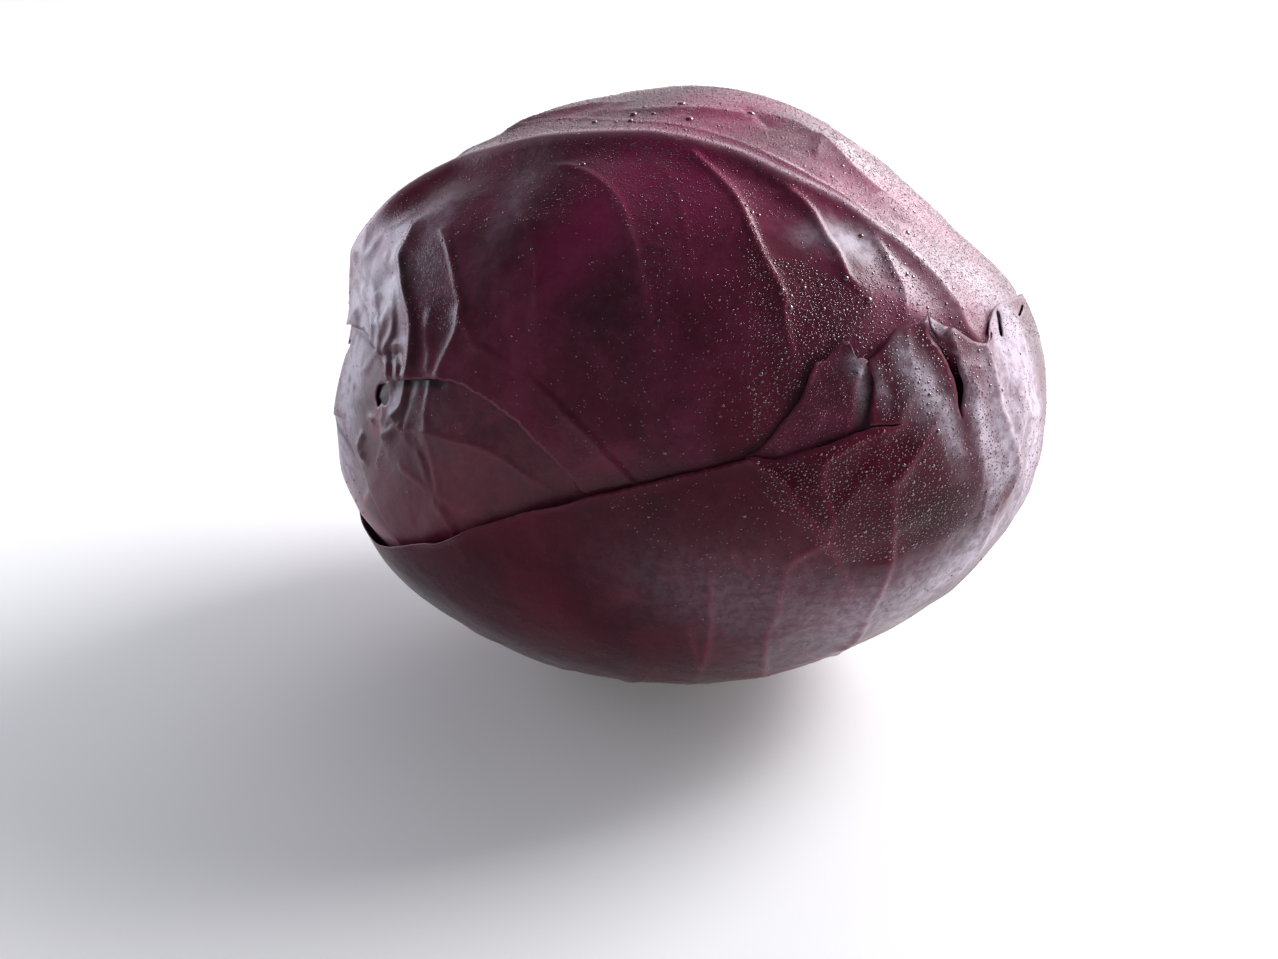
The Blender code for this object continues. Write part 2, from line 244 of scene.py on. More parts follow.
class Leaf:
    """One leaf: its margin, its place among the layers, and rasters of its relief and looks."""

    RES = 0.5

    def __init__(self, name, points, inset, under=(), holes=(), sharp=(), ragged=0.25, seed=1, skin=0.5):
        self.name, self.inset, self.under, self.skin, self.seed = name, inset, list(under), skin, seed
        loop = curve(points, 0.8, True, set(sharp))
        self.chart = Chart(loop.mean(axis=0))
        self.loops = [self._ragged(self.chart.flat(loop), ragged, seed)]
        for k, hole in enumerate(holes):
            self.loops.append(self._ragged(self.chart.flat(curve(hole, 0.6, True)), ragged * 0.8, seed + 31 + k))
        edge = self.loops[0]
        pad = 8.0
        self.lo = edge.min(axis=0) - pad
        self.n = np.ceil((edge.max(axis=0) + pad - self.lo) / self.RES).astype(int) + 1
        gx = self.lo[0] + np.arange(self.n[0]) * self.RES
        gy = self.lo[1] + np.arange(self.n[1]) * self.RES
        self.gx, self.gy = gx, gy
        self.P = np.stack(np.meshgrid(gx, gy, indexing="ij"), -1)
        self.dirs = self.chart.round(self.P)
        self.space = self.dirs * 78.0            # mm in space, for noise
        self.inside = np.zeros(tuple(self.n), bool)
        for loop in self.loops:
            self.inside ^= self._fill(loop)
        d = self._distance([np.vstack((lp, lp[:1])) for lp in self.loops], 26.0)[0]
        d = np.minimum(d, 30.0)
        self.sd = np.where(self.inside, d, -d).astype(np.float32)
        gxs, gys = np.gradient(self._blur(self.sd, 2), self.RES)
        length = np.maximum(np.hypot(gxs, gys), 1e-6)
        self.inward = np.stack((gxs / length, gys / length), -1)
        shape = tuple(self.n)
        self.broad = np.zeros(shape, np.float32)     # folds and swells, carried by both faces
        self.fine = np.zeros(shape, np.float32)      # ribs and wrinkles of the outer face
        self.vein = np.zeros(shape, np.float32)
        self.rib = np.zeros(shape, np.float32)       # pale thick midrib
        # pale bloom, with painted highlights and reflections in its colour
        self.wax = np.zeros(shape, np.float32)
        self.thin = np.zeros(shape, np.float32)
        # painted shade
        self.dark = np.zeros(shape, np.float32)
        self.roll = np.zeros(shape, np.float32)      # how far the margin rolls back, radians

    @staticmethod
    def _ragged(loop, size, seed):
        step = np.linalg.norm(np.roll(loop, -1, axis=0) - loop, axis=1)
        t = np.cumsum(step)
        side = np.roll(loop, -1, axis=0) - np.roll(loop, 1, axis=0)
        normal = np.stack((-side[:, 1], side[:, 0]), -1) / np.maximum(np.linalg.norm(side, axis=1), 1e-6)[:, None]
        return loop + normal * wobble(t, seed, size)[:, None]

    def _fill(self, loop):
        a, b = loop, np.roll(loop, -1, axis=0)
        out = np.zeros(tuple(self.n), bool)
        for j, y in enumerate(self.gy):
            hit = (a[:, 1] > y) != (b[:, 1] > y)
            if not hit.any():
                continue
            p, q = a[hit], b[hit]
            xs = np.sort((q[:, 0] - p[:, 0]) * (y - p[:, 1]) / (q[:, 1] - p[:, 1]) + p[:, 0])
            out[:, j] = np.searchsorted(xs, self.gx) % 2 == 1
        return out

    @staticmethod
    def _blur(a, r):
        a = a.astype(np.float32)
        for _ in range(2):
            for axis in (0, 1):
                pad = [(0, 0), (0, 0)]
                pad[axis] = (r + 1, r)
                c = np.cumsum(np.pad(a, pad, mode="edge"), axis=axis, dtype=np.float64)
                n = 2 * r + 1
                a = ((c[n:] - c[:-n]) if axis == 0 else (c[:, n:] - c[:, :-n])) / n
                a = a.astype(np.float32)
        return a

    def _distance(self, lines, reach):
        """Real distance in mm to the nearest line, how far along it (0 to 1) and on which side (+ right)."""
        shape = tuple(self.n)
        dist = np.full(shape, 1e3, np.float32)
        along = np.zeros(shape, np.float32)
        side = np.zeros(shape, np.float32)
        for line in lines:
            seg = np.linalg.norm(np.diff(line, axis=0), axis=1)
            t = np.concatenate(([0], np.cumsum(seg)))
            t /= max(t[-1], 1e-6)
            for s in range(0, len(line) - 1, 8):
                part = line[s:s + 9]
                scale = float(self.chart.true_mm(part).min())
                r = reach / max(scale, 0.15)
                lo = np.maximum(((part.min(axis=0) - r - self.lo) / self.RES).astype(int), 0)
                hi = np.minimum(((part.max(axis=0) + r - self.lo) / self.RES).astype(int) + 2, self.n)
                if (hi <= lo).any():
                    continue
                w = (slice(lo[0], hi[0]), slice(lo[1], hi[1]))
                p = self.P[w]
                for k in range(len(part) - 1):
                    a, ab = part[k], part[k + 1] - part[k]
                    ap = p - a
                    f = np.clip((ap @ ab) / max(ab @ ab, 1e-9), 0, 1)
                    rel = ap - f[..., None] * ab
                    d = np.hypot(rel[..., 0], rel[..., 1])
                    better = d < dist[w]
                    if not better.any():
                        continue
                    dist[w] = np.where(better, d, dist[w])
                    along[w] = np.where(better, t[s + k] + f * (t[s + k + 1] - t[s + k]), along[w])
                    cross = ab[0] * rel[..., 1] - ab[1] * rel[..., 0]
                    side[w] = np.where(better, -np.sign(cross), side[w])
        return dist * self.chart.true_mm(self.P).astype(np.float32), along, side

    # -- painting -------------------------------------------------------
    def line(self, points, step=0.9, inset=None):
        return self.chart.flat(curve(way(*points, inset=self.inset if inset is None else inset), step))

    def tent(self, points, high, spread, spread_right=None, power=1.0, soft=0.6, ends=(0.0, 0.2), inset=None):
        """A fold: high mm at the crest and falling away over spread mm; both may be (start, end)."""
        wide = max(np.max(spread), np.max(spread_right or 0))
        if inset is None:
            inset = self.inset - max(float(np.mean(high)), 0.0)
        d, t, side = self._distance([self.line(points, min(2.4, 0.5 + 0.5 * wide), inset)], 3.6 * wide)
        pick = lambda v: v if np.isscalar(v) else v[0] + (v[1] - v[0]) * t
        lam = pick(spread)
        if spread_right is not None:
            lam = np.where(side > 0, pick(spread_right), lam)
        h = pick(high)
        fade = smoothstep(t, -0.001, ends[0]) * smoothstep(1 - t, -0.001, ends[1])
        e = (np.sqrt(d * d + soft * soft) - soft) / lam
        h = h * fade * np.exp(-e ** power)
        if np.min(high) >= 0:
            self.broad = np.where(h > 0, np.maximum(self.broad, 0) + h - 0.35 * np.minimum(np.maximum(self.broad, 0), h)
                                  + np.minimum(self.broad, 0), self.broad).astype(np.float32)
        else:
            self.broad += h.astype(np.float32)

    def vein_line(self, points, high=(0.45, 0.15), wide=(1.2, 0.5), colour=1.0, fold=0.0, fold_spread=5.0,
                  ends=(0.0, 0.25), inset=None, rib=0.0):
        """A raised rib with its colour, and a low fold of the leaf under it."""
        line = self.line(points, 1.4, self.inset - fold - 0.5 * high[0] if inset is None else inset)
        reach = max(2.6 * max(wide), 3.4 * fold_spread if fold else 0)
        d, t, side = self._distance([line], reach)
        w = wide[0] + (wide[1] - wide[0]) * t
        fade = smoothstep(t, -0.001, ends[0]) * smoothstep(1 - t, -0.001, ends[1])
        h = (high[0] + (high[1] - high[0]) * t) * fade * np.exp(-(d / w) ** 2)
        self.fine = np.maximum(self.fine, h.astype(np.float32))
        m = colour * fade * np.exp(-(d / (w * 0.75)) ** 2)
        self.vein = np.maximum(self.vein, m.astype(np.float32))
        if rib:
            self.rib = np.maximum(self.rib, (rib * (1 - t) ** 0.7 * np.exp(-(d / w) ** 4)).astype(np.float32))
        if fold:
            e = (np.sqrt(d * d + 0.25) - 0.5) / fold_spread
            f = (fold * (1 - 0.5 * t) * fade * np.exp(-e)).astype(np.float32)
            self.broad = np.maximum(self.broad, 0) + f - 0.35 * np.minimum(np.maximum(self.broad, 0), f) \
                + np.minimum(self.broad, 0)

    def stain(self, field, points, wide, amount, ends=(0.1, 0.1), inset=None):
        """Colour along a line."""
        d, t, side = self._distance([self.line(points, 1.2, inset)], 2.6 * wide)
        fade = smoothstep(t, -0.001, ends[0]) * smoothstep(1 - t, -0.001, ends[1])
        a = getattr(self, field)
        a[...] = np.maximum(a, (amount * fade * np.exp(-(d / wide) ** 2)).astype(np.float32))

    def patch(self, field, at, radius, amount, squash=(1.0, 1.0, 0.0), inset=None):
        """Adds a soft round patch; radius in mm, squash gives an oval and its turn in degrees."""
        c = self.chart.flat(way(at, inset=self.inset if inset is None else inset))[0]
        rel = (self.P - c) * float(self.chart.true_mm(c))
        a = math.radians(squash[2])
        x = (rel[..., 0] * math.cos(a) + rel[..., 1] * math.sin(a)) / (radius * squash[0])
        y = (-rel[..., 0] * math.sin(a) + rel[..., 1] * math.cos(a)) / (radius * squash[1])
        getattr(self, field)[...] += (amount * np.exp(-(x * x + y * y))).astype(np.float32)

    # -- reading --------------------------------------------------------
    def read(self, field, uv):
        a = getattr(self, field) if isinstance(field, str) else field
        x = np.clip((uv[..., 0] - self.lo[0]) / self.RES, 0, self.n[0] - 1.001)
        y = np.clip((uv[..., 1] - self.lo[1]) / self.RES, 0, self.n[1] - 1.001)
        i, j = x.astype(int), y.astype(int)
        f, g = x - i, y - j
        if a.ndim == 3:
            f, g = f[..., None], g[..., None]
        return (a[i, j] * (1 - f) * (1 - g) + a[i + 1, j] * f * (1 - g) + a[i, j + 1] * (1 - f) * g
                + a[i + 1, j + 1] * f * g)

    def depth(self, uv):
        """Signed distance to the margin, and far outside the raster a large negative number."""
        out = (uv < self.lo).any(axis=-1) | (uv > self.lo + (self.n - 1) * self.RES).any(axis=-1)
        return np.where(out, -50.0, self.read("sd", uv))

    def radius(self, d, fine=True):
        """Radius of the outer face in directions d, before any roll of the margin."""
        uv = self.chart.flat(d)
        r = body(d) - self.inset + self.read("broad", uv)
        if fine:
            r = r + self.read("fine", uv)
        for leaf in self.under:
            low = leaf.radius(d, fine=False) + self.skin + 0.15
            sd = leaf.depth(leaf.chart.flat(d))
            low = low - 0.6 * leaf.skin - 9.0 * smoothstep(-sd, 0.0, 7.0) + 0.6 * leaf.skin * smoothstep(sd, -1.2, 0.6)
            gap = low - r
            r = r + 0.5 * (gap + np.sqrt(gap * gap + 0.25))
            r = r - 0.25 * np.exp(-np.abs(gap))
        return r

    def place(self, uv, fine=True):
        """Points of the outer face in mm, with the rolled margin."""
        turn = self.read("roll", uv)
        sd = self.depth(uv)
        wide, rho = 3.4, 1.3
        phi = turn * np.clip((wide - sd) / wide, 0, 1)
        shift = np.clip(wide - sd, 0, wide) - rho * np.sin(np.minimum(phi, 2.6)) * (wide / rho) / np.maximum(turn, 1e-3)
        on = (turn > 0.05) & (sd < wide)
        rr = wide / np.maximum(turn, 1e-3)
        shift = np.where(on, (wide - sd) - rr * np.sin(phi), 0.0)
        rise = np.where(on, rr * (1 - np.cos(phi)), 0.0)
        uv2 = uv + self.read(self.inward, uv) * (shift / self.chart.true_mm(uv))[..., None]
        d = self.chart.round(uv2)
        r = self.radius(d, fine) + rise
        return self._on_floor(d, r, 0.0)

    def _on_floor(self, d, r, lift):
        down = np.minimum(d[..., 2], -1e-9)
        r = np.where(d[..., 2] < 0, np.minimum(r, (CENTRE[2] - lift) / -down), r)
        return CENTRE + d * r[..., None]

    def normal(self, uv, fine=False):
        e = 0.7
        a = self.place(uv + (e, 0), fine) - self.place(uv - (e, 0), fine)
        b = self.place(uv + (0, e), fine) - self.place(uv - (0, e), fine)
        return unit(np.cross(a, b))


# ------------------------------------------------------------------ meshes
def new_object(name, verts_mm, faces, mat, smooth=True):
    mesh = bpy.data.meshes.new(name)
    mesh.vertices.add(len(verts_mm))
    mesh.vertices.foreach_set("co", (np.asarray(verts_mm, float) * 0.001).astype(np.float32).ravel())
    faces = np.asarray(faces, np.int32)
    mesh.loops.add(faces.size)
    mesh.loops.foreach_set("vertex_index", faces.ravel())
    mesh.polygons.add(len(faces))
    mesh.polygons.foreach_set("loop_start", np.arange(0, faces.size, faces.shape[1], dtype=np.int32))
    mesh.update(calc_edges=True)
    mesh.validate()
    if smooth:
        mesh.shade_smooth()
    mesh.materials.append(mat)
    ob = bpy.data.objects.new(name, mesh)
    bpy.context.scene.collection.objects.link(ob)
    return ob


def attribute(ob, name, values):
    a = ob.data.attributes.new(name, "FLOAT", "POINT")
    a.data.foreach_set("value", np.asarray(values, np.float32))


PITCH_FINE = 0.78
FINE = lattice(PITCH_FINE)
MIDDLE = lattice(1.7)
COARSE = lattice(4.0)


def triangulate(leaf, dirs):
    """Triangles of the leaf's chart with its loops as their border."""
    uv = leaf.chart.flat(dirs)
    loops = leaf.loops
    n = sum(len(lp) for lp in loops)
    pts = np.concatenate(loops + [uv])
    edges, s = [], 0
    for lp in loops:
        edges += [(s + i, s + (i + 1) % len(lp)) for i in range(len(lp))]
        s += len(lp)
    out = delaunay_2d_cdt([Vector(p) for p in pts], edges, [], 0, 1e-6)
    flat = np.array([tuple(v) for v in out[0]])
    tris = np.array(out[2])
    mid = flat[tris].mean(axis=1)
    near = leaf.depth(mid)
    keep = near > 0
    unsure = np.flatnonzero(np.abs(near) < 1.2)
    if len(unsure):
        test = np.zeros(len(unsure), bool)
        for lp in loops:
            test ^= parity(mid[unsure], lp)
        keep[unsure] = test
    tris = tris[keep]
    used = np.unique(tris)
    remap = -np.ones(len(flat), int)
    remap[used] = np.arange(len(used))
    return flat[used], remap[tris]


def pick(leaf, dirs, lo, hi, covers, hidden_from):
    """Lattice directions inside the leaf, lo to hi mm from its margin, that the covering leaves do or don't hide."""
    ok = dirs @ leaf.chart.k > -0.75
    dirs = dirs[ok]
    uv = leaf.chart.flat(dirs)
    sd = leaf.depth(uv)
    ok = (sd > lo) & (sd < hi)
    dirs = dirs[ok]
    cover = np.full(len(dirs), -50.0)
    for c in covers:
        cover = np.maximum(cover, c.depth(c.chart.flat(dirs)))
    return dirs[cover < hidden_from], dirs[cover >= hidden_from]


def pixels(d):
    """Where a direction's surface point is in the photograph, and whether it faces the camera."""
    x = d * body(d)[:, None]
    t = EYE - x @ TOWARDS
    px = MIDDLE_PX[0] + (x @ RIGHT) * EYE / t * PX_PER_MM
    py = MIDDLE_PX[1] - (x @ UP) * EYE / t * PX_PER_MM
    return px, py, d @ TOWARDS


def polygon(px, py, *corners):
    return parity(np.stack((px, py), -1), np.array(corners, float))


def wanted(d, px, py, facing):
    """Drops per square mm and their mean radius in mm at each direction."""
    patch = 0.5 + 0.5 * fractal(d * 78, 16.0, 2, 40)
    many = np.full(len(d), 0.0)
    size = np.full(len(d), 0.22)

    def zone(mask, per_mm, radius, fade=0.5):
        value = per_mm * (1 - fade + fade * np.clip(patch * 1.6 - 0.3, 0, 1.3))
        many[mask] = value[mask]
        size[mask] = radius

    high = d[:, 2]
    back = facing < 0.12
    zone(back & (high > 0.15), 0.26, 0.21, 0.8)
    zone(back & (high <= 0.15) & (high > -0.35), 0.10, 0.26, 0.9)
    on = ~back
    zone(on & (py < 330), 0.40, 0.16, 0.7)
    zone(on & polygon(px, py, (500, 60), (500, 150), (560, 138), (640, 136), (740, 158), (834, 202), (900, 248), (960, 308),
                      (980, 340), (1080, 330), (1080, 60)), 1.75, 0.19, 0.25)
    zone(on & polygon(px, py, (560, 145), (640, 140), (740, 162), (800, 190), (810, 215), (760, 230), (700, 300), (650, 300),
                      (630, 240), (600, 180)), 0.95, 0.17, 0.5)
    zone(on & polygon(px, py, (740, 300), (750, 215), (775, 255), (800, 258), (850, 285), (880, 240), (940, 290), (978, 345),
                      (940, 335), (926, 308), (900, 322), (862, 366), (845, 340), (800, 390), (770, 440), (740, 450)), 1.45, 0.25, 0.3)
    zone(on & polygon(px, py, (812, 208), (834, 208), (868, 235), (872, 262), (850, 270), (835, 250)), 0.02, 0.20)
    zone(on & polygon(px, py, (755, 215), (805, 215), (825, 240), (800, 252), (770, 256)), 0.03, 0.20)
    zone(on & polygon(px, py, (440, 235), (560, 215), (600, 190), (625, 230), (640, 420), (440, 420)), 0.035, 0.20)
    zone(on & polygon(px, py, (640, 290), (700, 250), (745, 225), (752, 460), (700, 474), (640, 480)), 0.50, 0.22, 0.7)
    zone(on & polygon(px, py, (570, 260), (640, 250), (640, 482), (560, 500)), 0.14, 0.19, 0.9)
    zone(on & polygon(px, py, (600, 492), (640, 482), (755, 458), (770, 500), (800, 545), (850, 575), (960, 560), (930, 590), (840, 610),
                      (730, 580), (650, 550)), 0.35, 0.19, 0.7)
    zone(on & polygon(px, py, (400, 230), (445, 238), (455, 300), (460, 330), (400, 330)), 0.55, 0.18, 0.6)
    zone(on & polygon(px, py, (335, 240), (395, 235), (395, 330), (335, 330)), 0.05, 0.18)
    zone(on & polygon(px, py, (335, 330), (460, 330), (460, 500), (335, 500)), 0.04, 0.18)
    zone(on & polygon(px, py, (745, 458), (784, 416), (808, 370), (845, 340), (872, 370), (868, 420), (800, 452)), 1.30, 0.17, 0.5)
    zone(on & polygon(px, py, (755, 458), (811, 447), (874, 424), (866, 368), (905, 322), (926, 310), (985, 345), (982, 400),
                      (1008, 440), (1015, 470), (1000, 505), (940, 540), (895, 555), (835, 560), (790, 520), (765, 495)), 2.40, 0.24, 0.20)
    zone(on & polygon(px, py, (985, 345), (1060, 330), (1060, 560), (1012, 480), (984, 400)), 0.40, 0.19, 0.8)
    zone(on & polygon(px, py, (640, 560), (730, 585), (840, 612), (930, 592), (965, 560), (1010, 500), (1060, 560), (960, 700),
                      (640, 720)), 0.03, 0.20, 0.9)
    return many, size


def build(leaf, covers, mat, slot_name):
    shown, rest = pick(leaf, FINE, 0.45, 99, covers, 5.0)
    low = shown @ np.array((0, 0, -1.0)) > 0.90
    if low.any():
        shown = shown[~low]
        spare = MIDDLE[MIDDLE @ np.array((0, 0, -1.0)) > 0.90]
        spare, _ = pick(leaf, spare, 0.8, 99, covers, 99)
        shown = np.concatenate((shown, spare))
    _, hid = pick(leaf, COARSE, 1.5, 99, covers, 5.0)
    uv, tri = triangulate(leaf, np.concatenate((shown, hid)))
    outer = leaf.place(uv)
    # the inner face: fine near the margins that show, coarse elsewhere
    close, _ = pick(leaf, MIDDLE, 0.8, 6.0, covers, 3.0)
    far, far2 = pick(leaf, COARSE, 6.0, 99, covers, 3.0)
    _, near2 = pick(leaf, COARSE, 1.5, 6.0, covers, 3.0)
    uv_in, tri_in = triangulate(leaf, np.concatenate((close, far, far2, near2)))
    inner = leaf.place(uv_in, fine=False)
    nrm = leaf.normal(uv_in)
    sign = np.sign(np.einsum("ij,ij->i", nrm, inner - CENTRE))
    taper = 0.45 + 0.55 * smoothstep(leaf.depth(uv_in), 0.0, 3.0)
    sag = 0.35 * smoothstep(leaf.depth(uv_in), 2.0, 7.0)
    inner = inner - nrm * (sign * (leaf.skin * taper + sag))[:, None]
    inner[:, 2] = np.maximum(inner[:, 2], 0.3)
    m = len(outer)
    # the border vertices of both faces are the loops' points in the same order
    def border(tris):
        directed = set(map(tuple, np.concatenate((tris[:, [0, 1]], tris[:, [1, 2]], tris[:, [2, 0]])).tolist()))
        return [(a, b) for a, b in directed if (b, a) not in directed]
    key = {}
    for i in {a for e in border(tri_in) for a in e}:
        key[tuple(np.round(uv_in[i], 3))] = i
    faces = [tri, tri_in[:, ::-1] + m]
    rim = []
    for a, b in border(tri):
        c, d = key.get(tuple(np.round(uv[a], 3))), key.get(tuple(np.round(uv[b], 3)))
        if c is None or d is None:
            continue
        rim += [(b, a, c + m), (b, c + m, d + m)]
    faces.append(np.array(rim))
    faces = np.concatenate(faces)
    verts = np.concatenate((outer, inner))
    # faces outwards
    a, b, c = (verts[faces[:, k]] for k in range(3))
    if np.einsum("ij,ij->i", a - CENTRE, np.cross(b - CENTRE, c - CENTRE)).sum() < 0:
        faces = faces[:, ::-1]
    ob = new_object(leaf.name, verts, faces, mat)
    # fields for the material, among them painted shade and the bloom with its painted highlights
    for f in ("vein", "rib", "wax", "thin", "dark"):
        attribute(ob, f, np.concatenate((leaf.read(f, uv), leaf.read(f, uv_in))))
    # closeness to the margin, for the lighter rim that is partly a painted highlight
    attribute(ob, "edge", np.concatenate((np.exp(-np.maximum(leaf.depth(uv), 0) / 1.2),
                                          np.exp(-np.maximum(leaf.depth(uv_in), 0) / 1.2))))
    attribute(ob, "inner", np.concatenate((np.zeros(m), np.ones(len(inner)))))
    d = leaf.chart.round(uv)
    mist = np.clip(wanted(d, *pixels(d))[0] / 1.1, 0, 1) * (0.22 if mat is M_FRONT_SHADED else 1.0)
    attribute(ob, "mist", np.concatenate((mist, np.zeros(len(inner)))))
    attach(ob, "root")
    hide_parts(leaf.name)
    print(leaf.name, "triangles", len(faces))
    return ob


# ------------------------------------------------------------------ materials
def principled(name, base, roughness, **sockets):
    m = bpy.data.materials.new(name)
    m.use_nodes = True
    b = m.node_tree.nodes["Principled BSDF"]
    b.inputs["Base Color"].default_value = (*base, 1)
    b.inputs["Roughness"].default_value = roughness
    for k, v in sockets.items():
        b.inputs[k.replace("_", " ")].default_value = v
    return m, m.node_tree, b


class Graph:
    def __init__(self, tree):
        self.t, self.x = tree, -300

    def node(self, kind, **props):
        n = self.t.nodes.new(kind)
        self.x -= 40
        n.location = (self.x, (self.x * 7) % 600)
        for k, v in props.items():
            setattr(n, k, v)
        return n

    def link(self, a, b):
        self.t.links.new(a, b)

    def attr(self, name):
        return self.node("ShaderNodeAttribute", attribute_name=name).outputs["Fac"]

    def noise(self, scale, detail=3.0, rough=0.55, distort=0.0, where=None):
        n = self.node("ShaderNodeTexNoise")
        n.inputs["Scale"].default_value = scale
        n.inputs["Detail"].default_value = detail
        n.inputs["Roughness"].default_value = rough
        n.inputs["Distortion"].default_value = distort
        self.link(where or self.where, n.inputs["Vector"])
        return n.outputs["Fac"]

    def remap(self, v, a, b, c=0.0, d=1.0):
        n = self.node("ShaderNodeMapRange")
        n.inputs["From Min"].default_value = a
        n.inputs["From Max"].default_value = b
        n.inputs["To Min"].default_value = c
        n.inputs["To Max"].default_value = d
        self.link(v, n.inputs["Value"])
        return n.outputs["Result"]

    def math(self, op, a, b=None, clamp=False):
        n = self.node("ShaderNodeMath", operation=op, use_clamp=clamp)
        for i, v in enumerate((a, b)):
            if v is None:
                continue
            if isinstance(v, (int, float)):
                n.inputs[i].default_value = v
            else:
                self.link(v, n.inputs[i])
        return n.outputs[0]

    def mix(self, f, a, b, blend="MIX"):
        n = self.node("ShaderNodeMix", data_type="RGBA", blend_type=blend)
        for i, v in ((0, f), (6, a), (7, b)):
            if isinstance(v, (int, float)):
                n.inputs[i].default_value = v
            elif isinstance(v, tuple):
                n.inputs[i].default_value = (*v, 1)
            else:
                self.link(v, n.inputs[i])
        return n.outputs[2]


def leaf_material(name, deep, mid, thin_c, vein_c, bloom_highlight_c, wax=0.5, roughness=0.40, seed=0.0, net=0.04, level=0.30):
    m, tree, b = principled(name, mid, roughness)
    b.inputs["Specular IOR Level"].default_value = level
    b.inputs["Sheen Weight"].default_value = 0.0
    b.inputs["Sheen Roughness"].default_value = 0.35
    b.inputs["Sheen Tint"].default_value = (0.85, 0.80, 0.95, 1)
    g = Graph(tree)
    coord = g.node("ShaderNodeTexCoord")
    move = g.node("ShaderNodeMapping")
    move.inputs["Location"].default_value = (seed, seed * 0.7, seed * 1.3)
    g.link(coord.outputs["Object"], move.inputs["Vector"])
    g.where = move.outputs["Vector"]
    large = g.noise(22, 3, 0.5)
    patchy = g.noise(75, 4, 0.6, 0.4)
    fine = g.noise(420, 4, 0.65)
    grain = g.noise(1500, 2, 0.6)
    lamina = g.mix(g.remap(large, 0.35, 0.66), deep, mid)
    lamina = g.mix(g.math("MULTIPLY", g.remap(patchy, 0.42, 0.72), 0.45), lamina, thin_c)
    lamina = g.mix(g.math("MULTIPLY", g.attr("thin"), 1.0, True), lamina, thin_c)
    # the fine net of veins
    cells = g.node("ShaderNodeTexVoronoi", feature="DISTANCE_TO_EDGE")
    cells.inputs["Scale"].default_value = 150
    warp = g.node("ShaderNodeVectorMath", operation="ADD")
    warpn = g.node("ShaderNodeTexNoise")
    warpn.inputs["Scale"].default_value = 60
    g.link(g.where, warpn.inputs["Vector"])
    shrink = g.node("ShaderNodeVectorMath", operation="SCALE")
    shrink.inputs["Scale"].default_value = 0.012
    g.link(warpn.outputs["Color"], shrink.inputs[0])
    g.link(g.where, warp.inputs[0])
    g.link(shrink.outputs[0], warp.inputs[1])
    g.link(warp.outputs[0], cells.inputs["Vector"])
    net_line = g.remap(cells.outputs["Distance"], 0.0, 0.05, 1.0, 0.0)
    net_mask = g.math("MULTIPLY", net_line, g.remap(patchy, 0.35, 0.6, 0.0, net))
    col = g.mix(net_mask, lamina, vein_c)
    vein = g.attr("vein")
    col = g.mix(g.math("MULTIPLY", vein, 0.60, True), col, vein_c)
    col = g.mix(g.math("MULTIPLY", g.attr("rib"), 1.0, True), col, (0.55, 0.33, 0.38))
    # wax bloom: a pale bloom, mottled and rubbed off in places; the per-leaf attribute adds painted highlights and
    # painted reflections in the same pale colour
    bloom_highlight_amount = g.math("ADD", g.math("MULTIPLY", g.remap(patchy, 0.30, 0.75, 0.25, 1.0), wax), g.attr("wax"))
    speck = g.remap(fine, 0.40, 0.62, 0.55, 1.15)
    bloom_highlight_amount = g.math("MULTIPLY", bloom_highlight_amount, speck, True)
    # water too fine to model as drops: beads half a millimetre apart
    bead = g.node("ShaderNodeTexVoronoi", feature="F1")
    bead.inputs["Scale"].default_value = 1750
    g.link(g.where, bead.inputs["Vector"])
    wet = g.math("MULTIPLY", g.remap(bead.outputs["Distance"], 0.34, 0.24), g.attr("mist"))
    dome = g.math("MULTIPLY", g.remap(bead.outputs["Distance"], 0.36, 0.0), g.attr("mist"))
    bloom_highlight_amount = g.math("MULTIPLY", bloom_highlight_amount, g.remap(wet, 0.0, 1.0, 1.0, 0.35))
    col = g.mix(g.math("MULTIPLY", bloom_highlight_amount, 0.80, True), col, bloom_highlight_c)
    # painted shade: darkens creases, gaps, slits and the strips beside raised margins towards near black
    col = g.mix(g.math("MULTIPLY", g.attr("dark"), 0.9, True), col, (0.018, 0.006, 0.010))
    # lighter pink along every margin: partly the thin margin's own colour, partly a painted highlight where the rim
    # catches light
    col = g.mix(g.math("MULTIPLY", g.attr("edge"), 0.45), col, (0.16, 0.030, 0.060))
    col = g.mix(g.math("MULTIPLY", g.attr("inner"), 0.85), col, (0.20, 0.055, 0.115))
    g.link(col, b.inputs["Base Color"])
    rough = g.math("ADD", g.remap(patchy, 0.3, 0.7, roughness - 0.07, roughness + 0.07), g.math("MULTIPLY", bloom_highlight_amount, 0.16))
    rough = g.math("SUBTRACT", rough, g.math("MULTIPLY", vein, 0.06), True)
    g.link(g.math("MULTIPLY", rough, g.remap(wet, 0.0, 1.0, 1.0, 0.45)), b.inputs["Roughness"])
    # bump: skin grain, the fine net and a little crinkle
    h = g.math("ADD", g.math("MULTIPLY", grain, 0.35), g.math("MULTIPLY", fine, 0.8))
    h = g.math("ADD", h, g.math("MULTIPLY", net_line, net))
    bump = g.node("ShaderNodeBump")
    bump.inputs["Strength"].default_value = 0.30
    bump.inputs["Distance"].default_value = 0.00035
    g.link(h, bump.inputs["Height"])
    beads = g.node("ShaderNodeBump")
    beads.inputs["Strength"].default_value = 0.85
    beads.inputs["Distance"].default_value = 0.00016
    g.link(dome, beads.inputs["Height"])
    g.link(bump.outputs["Normal"], beads.inputs["Normal"])
    g.link(beads.outputs["Normal"], b.inputs["Normal"])
    return m


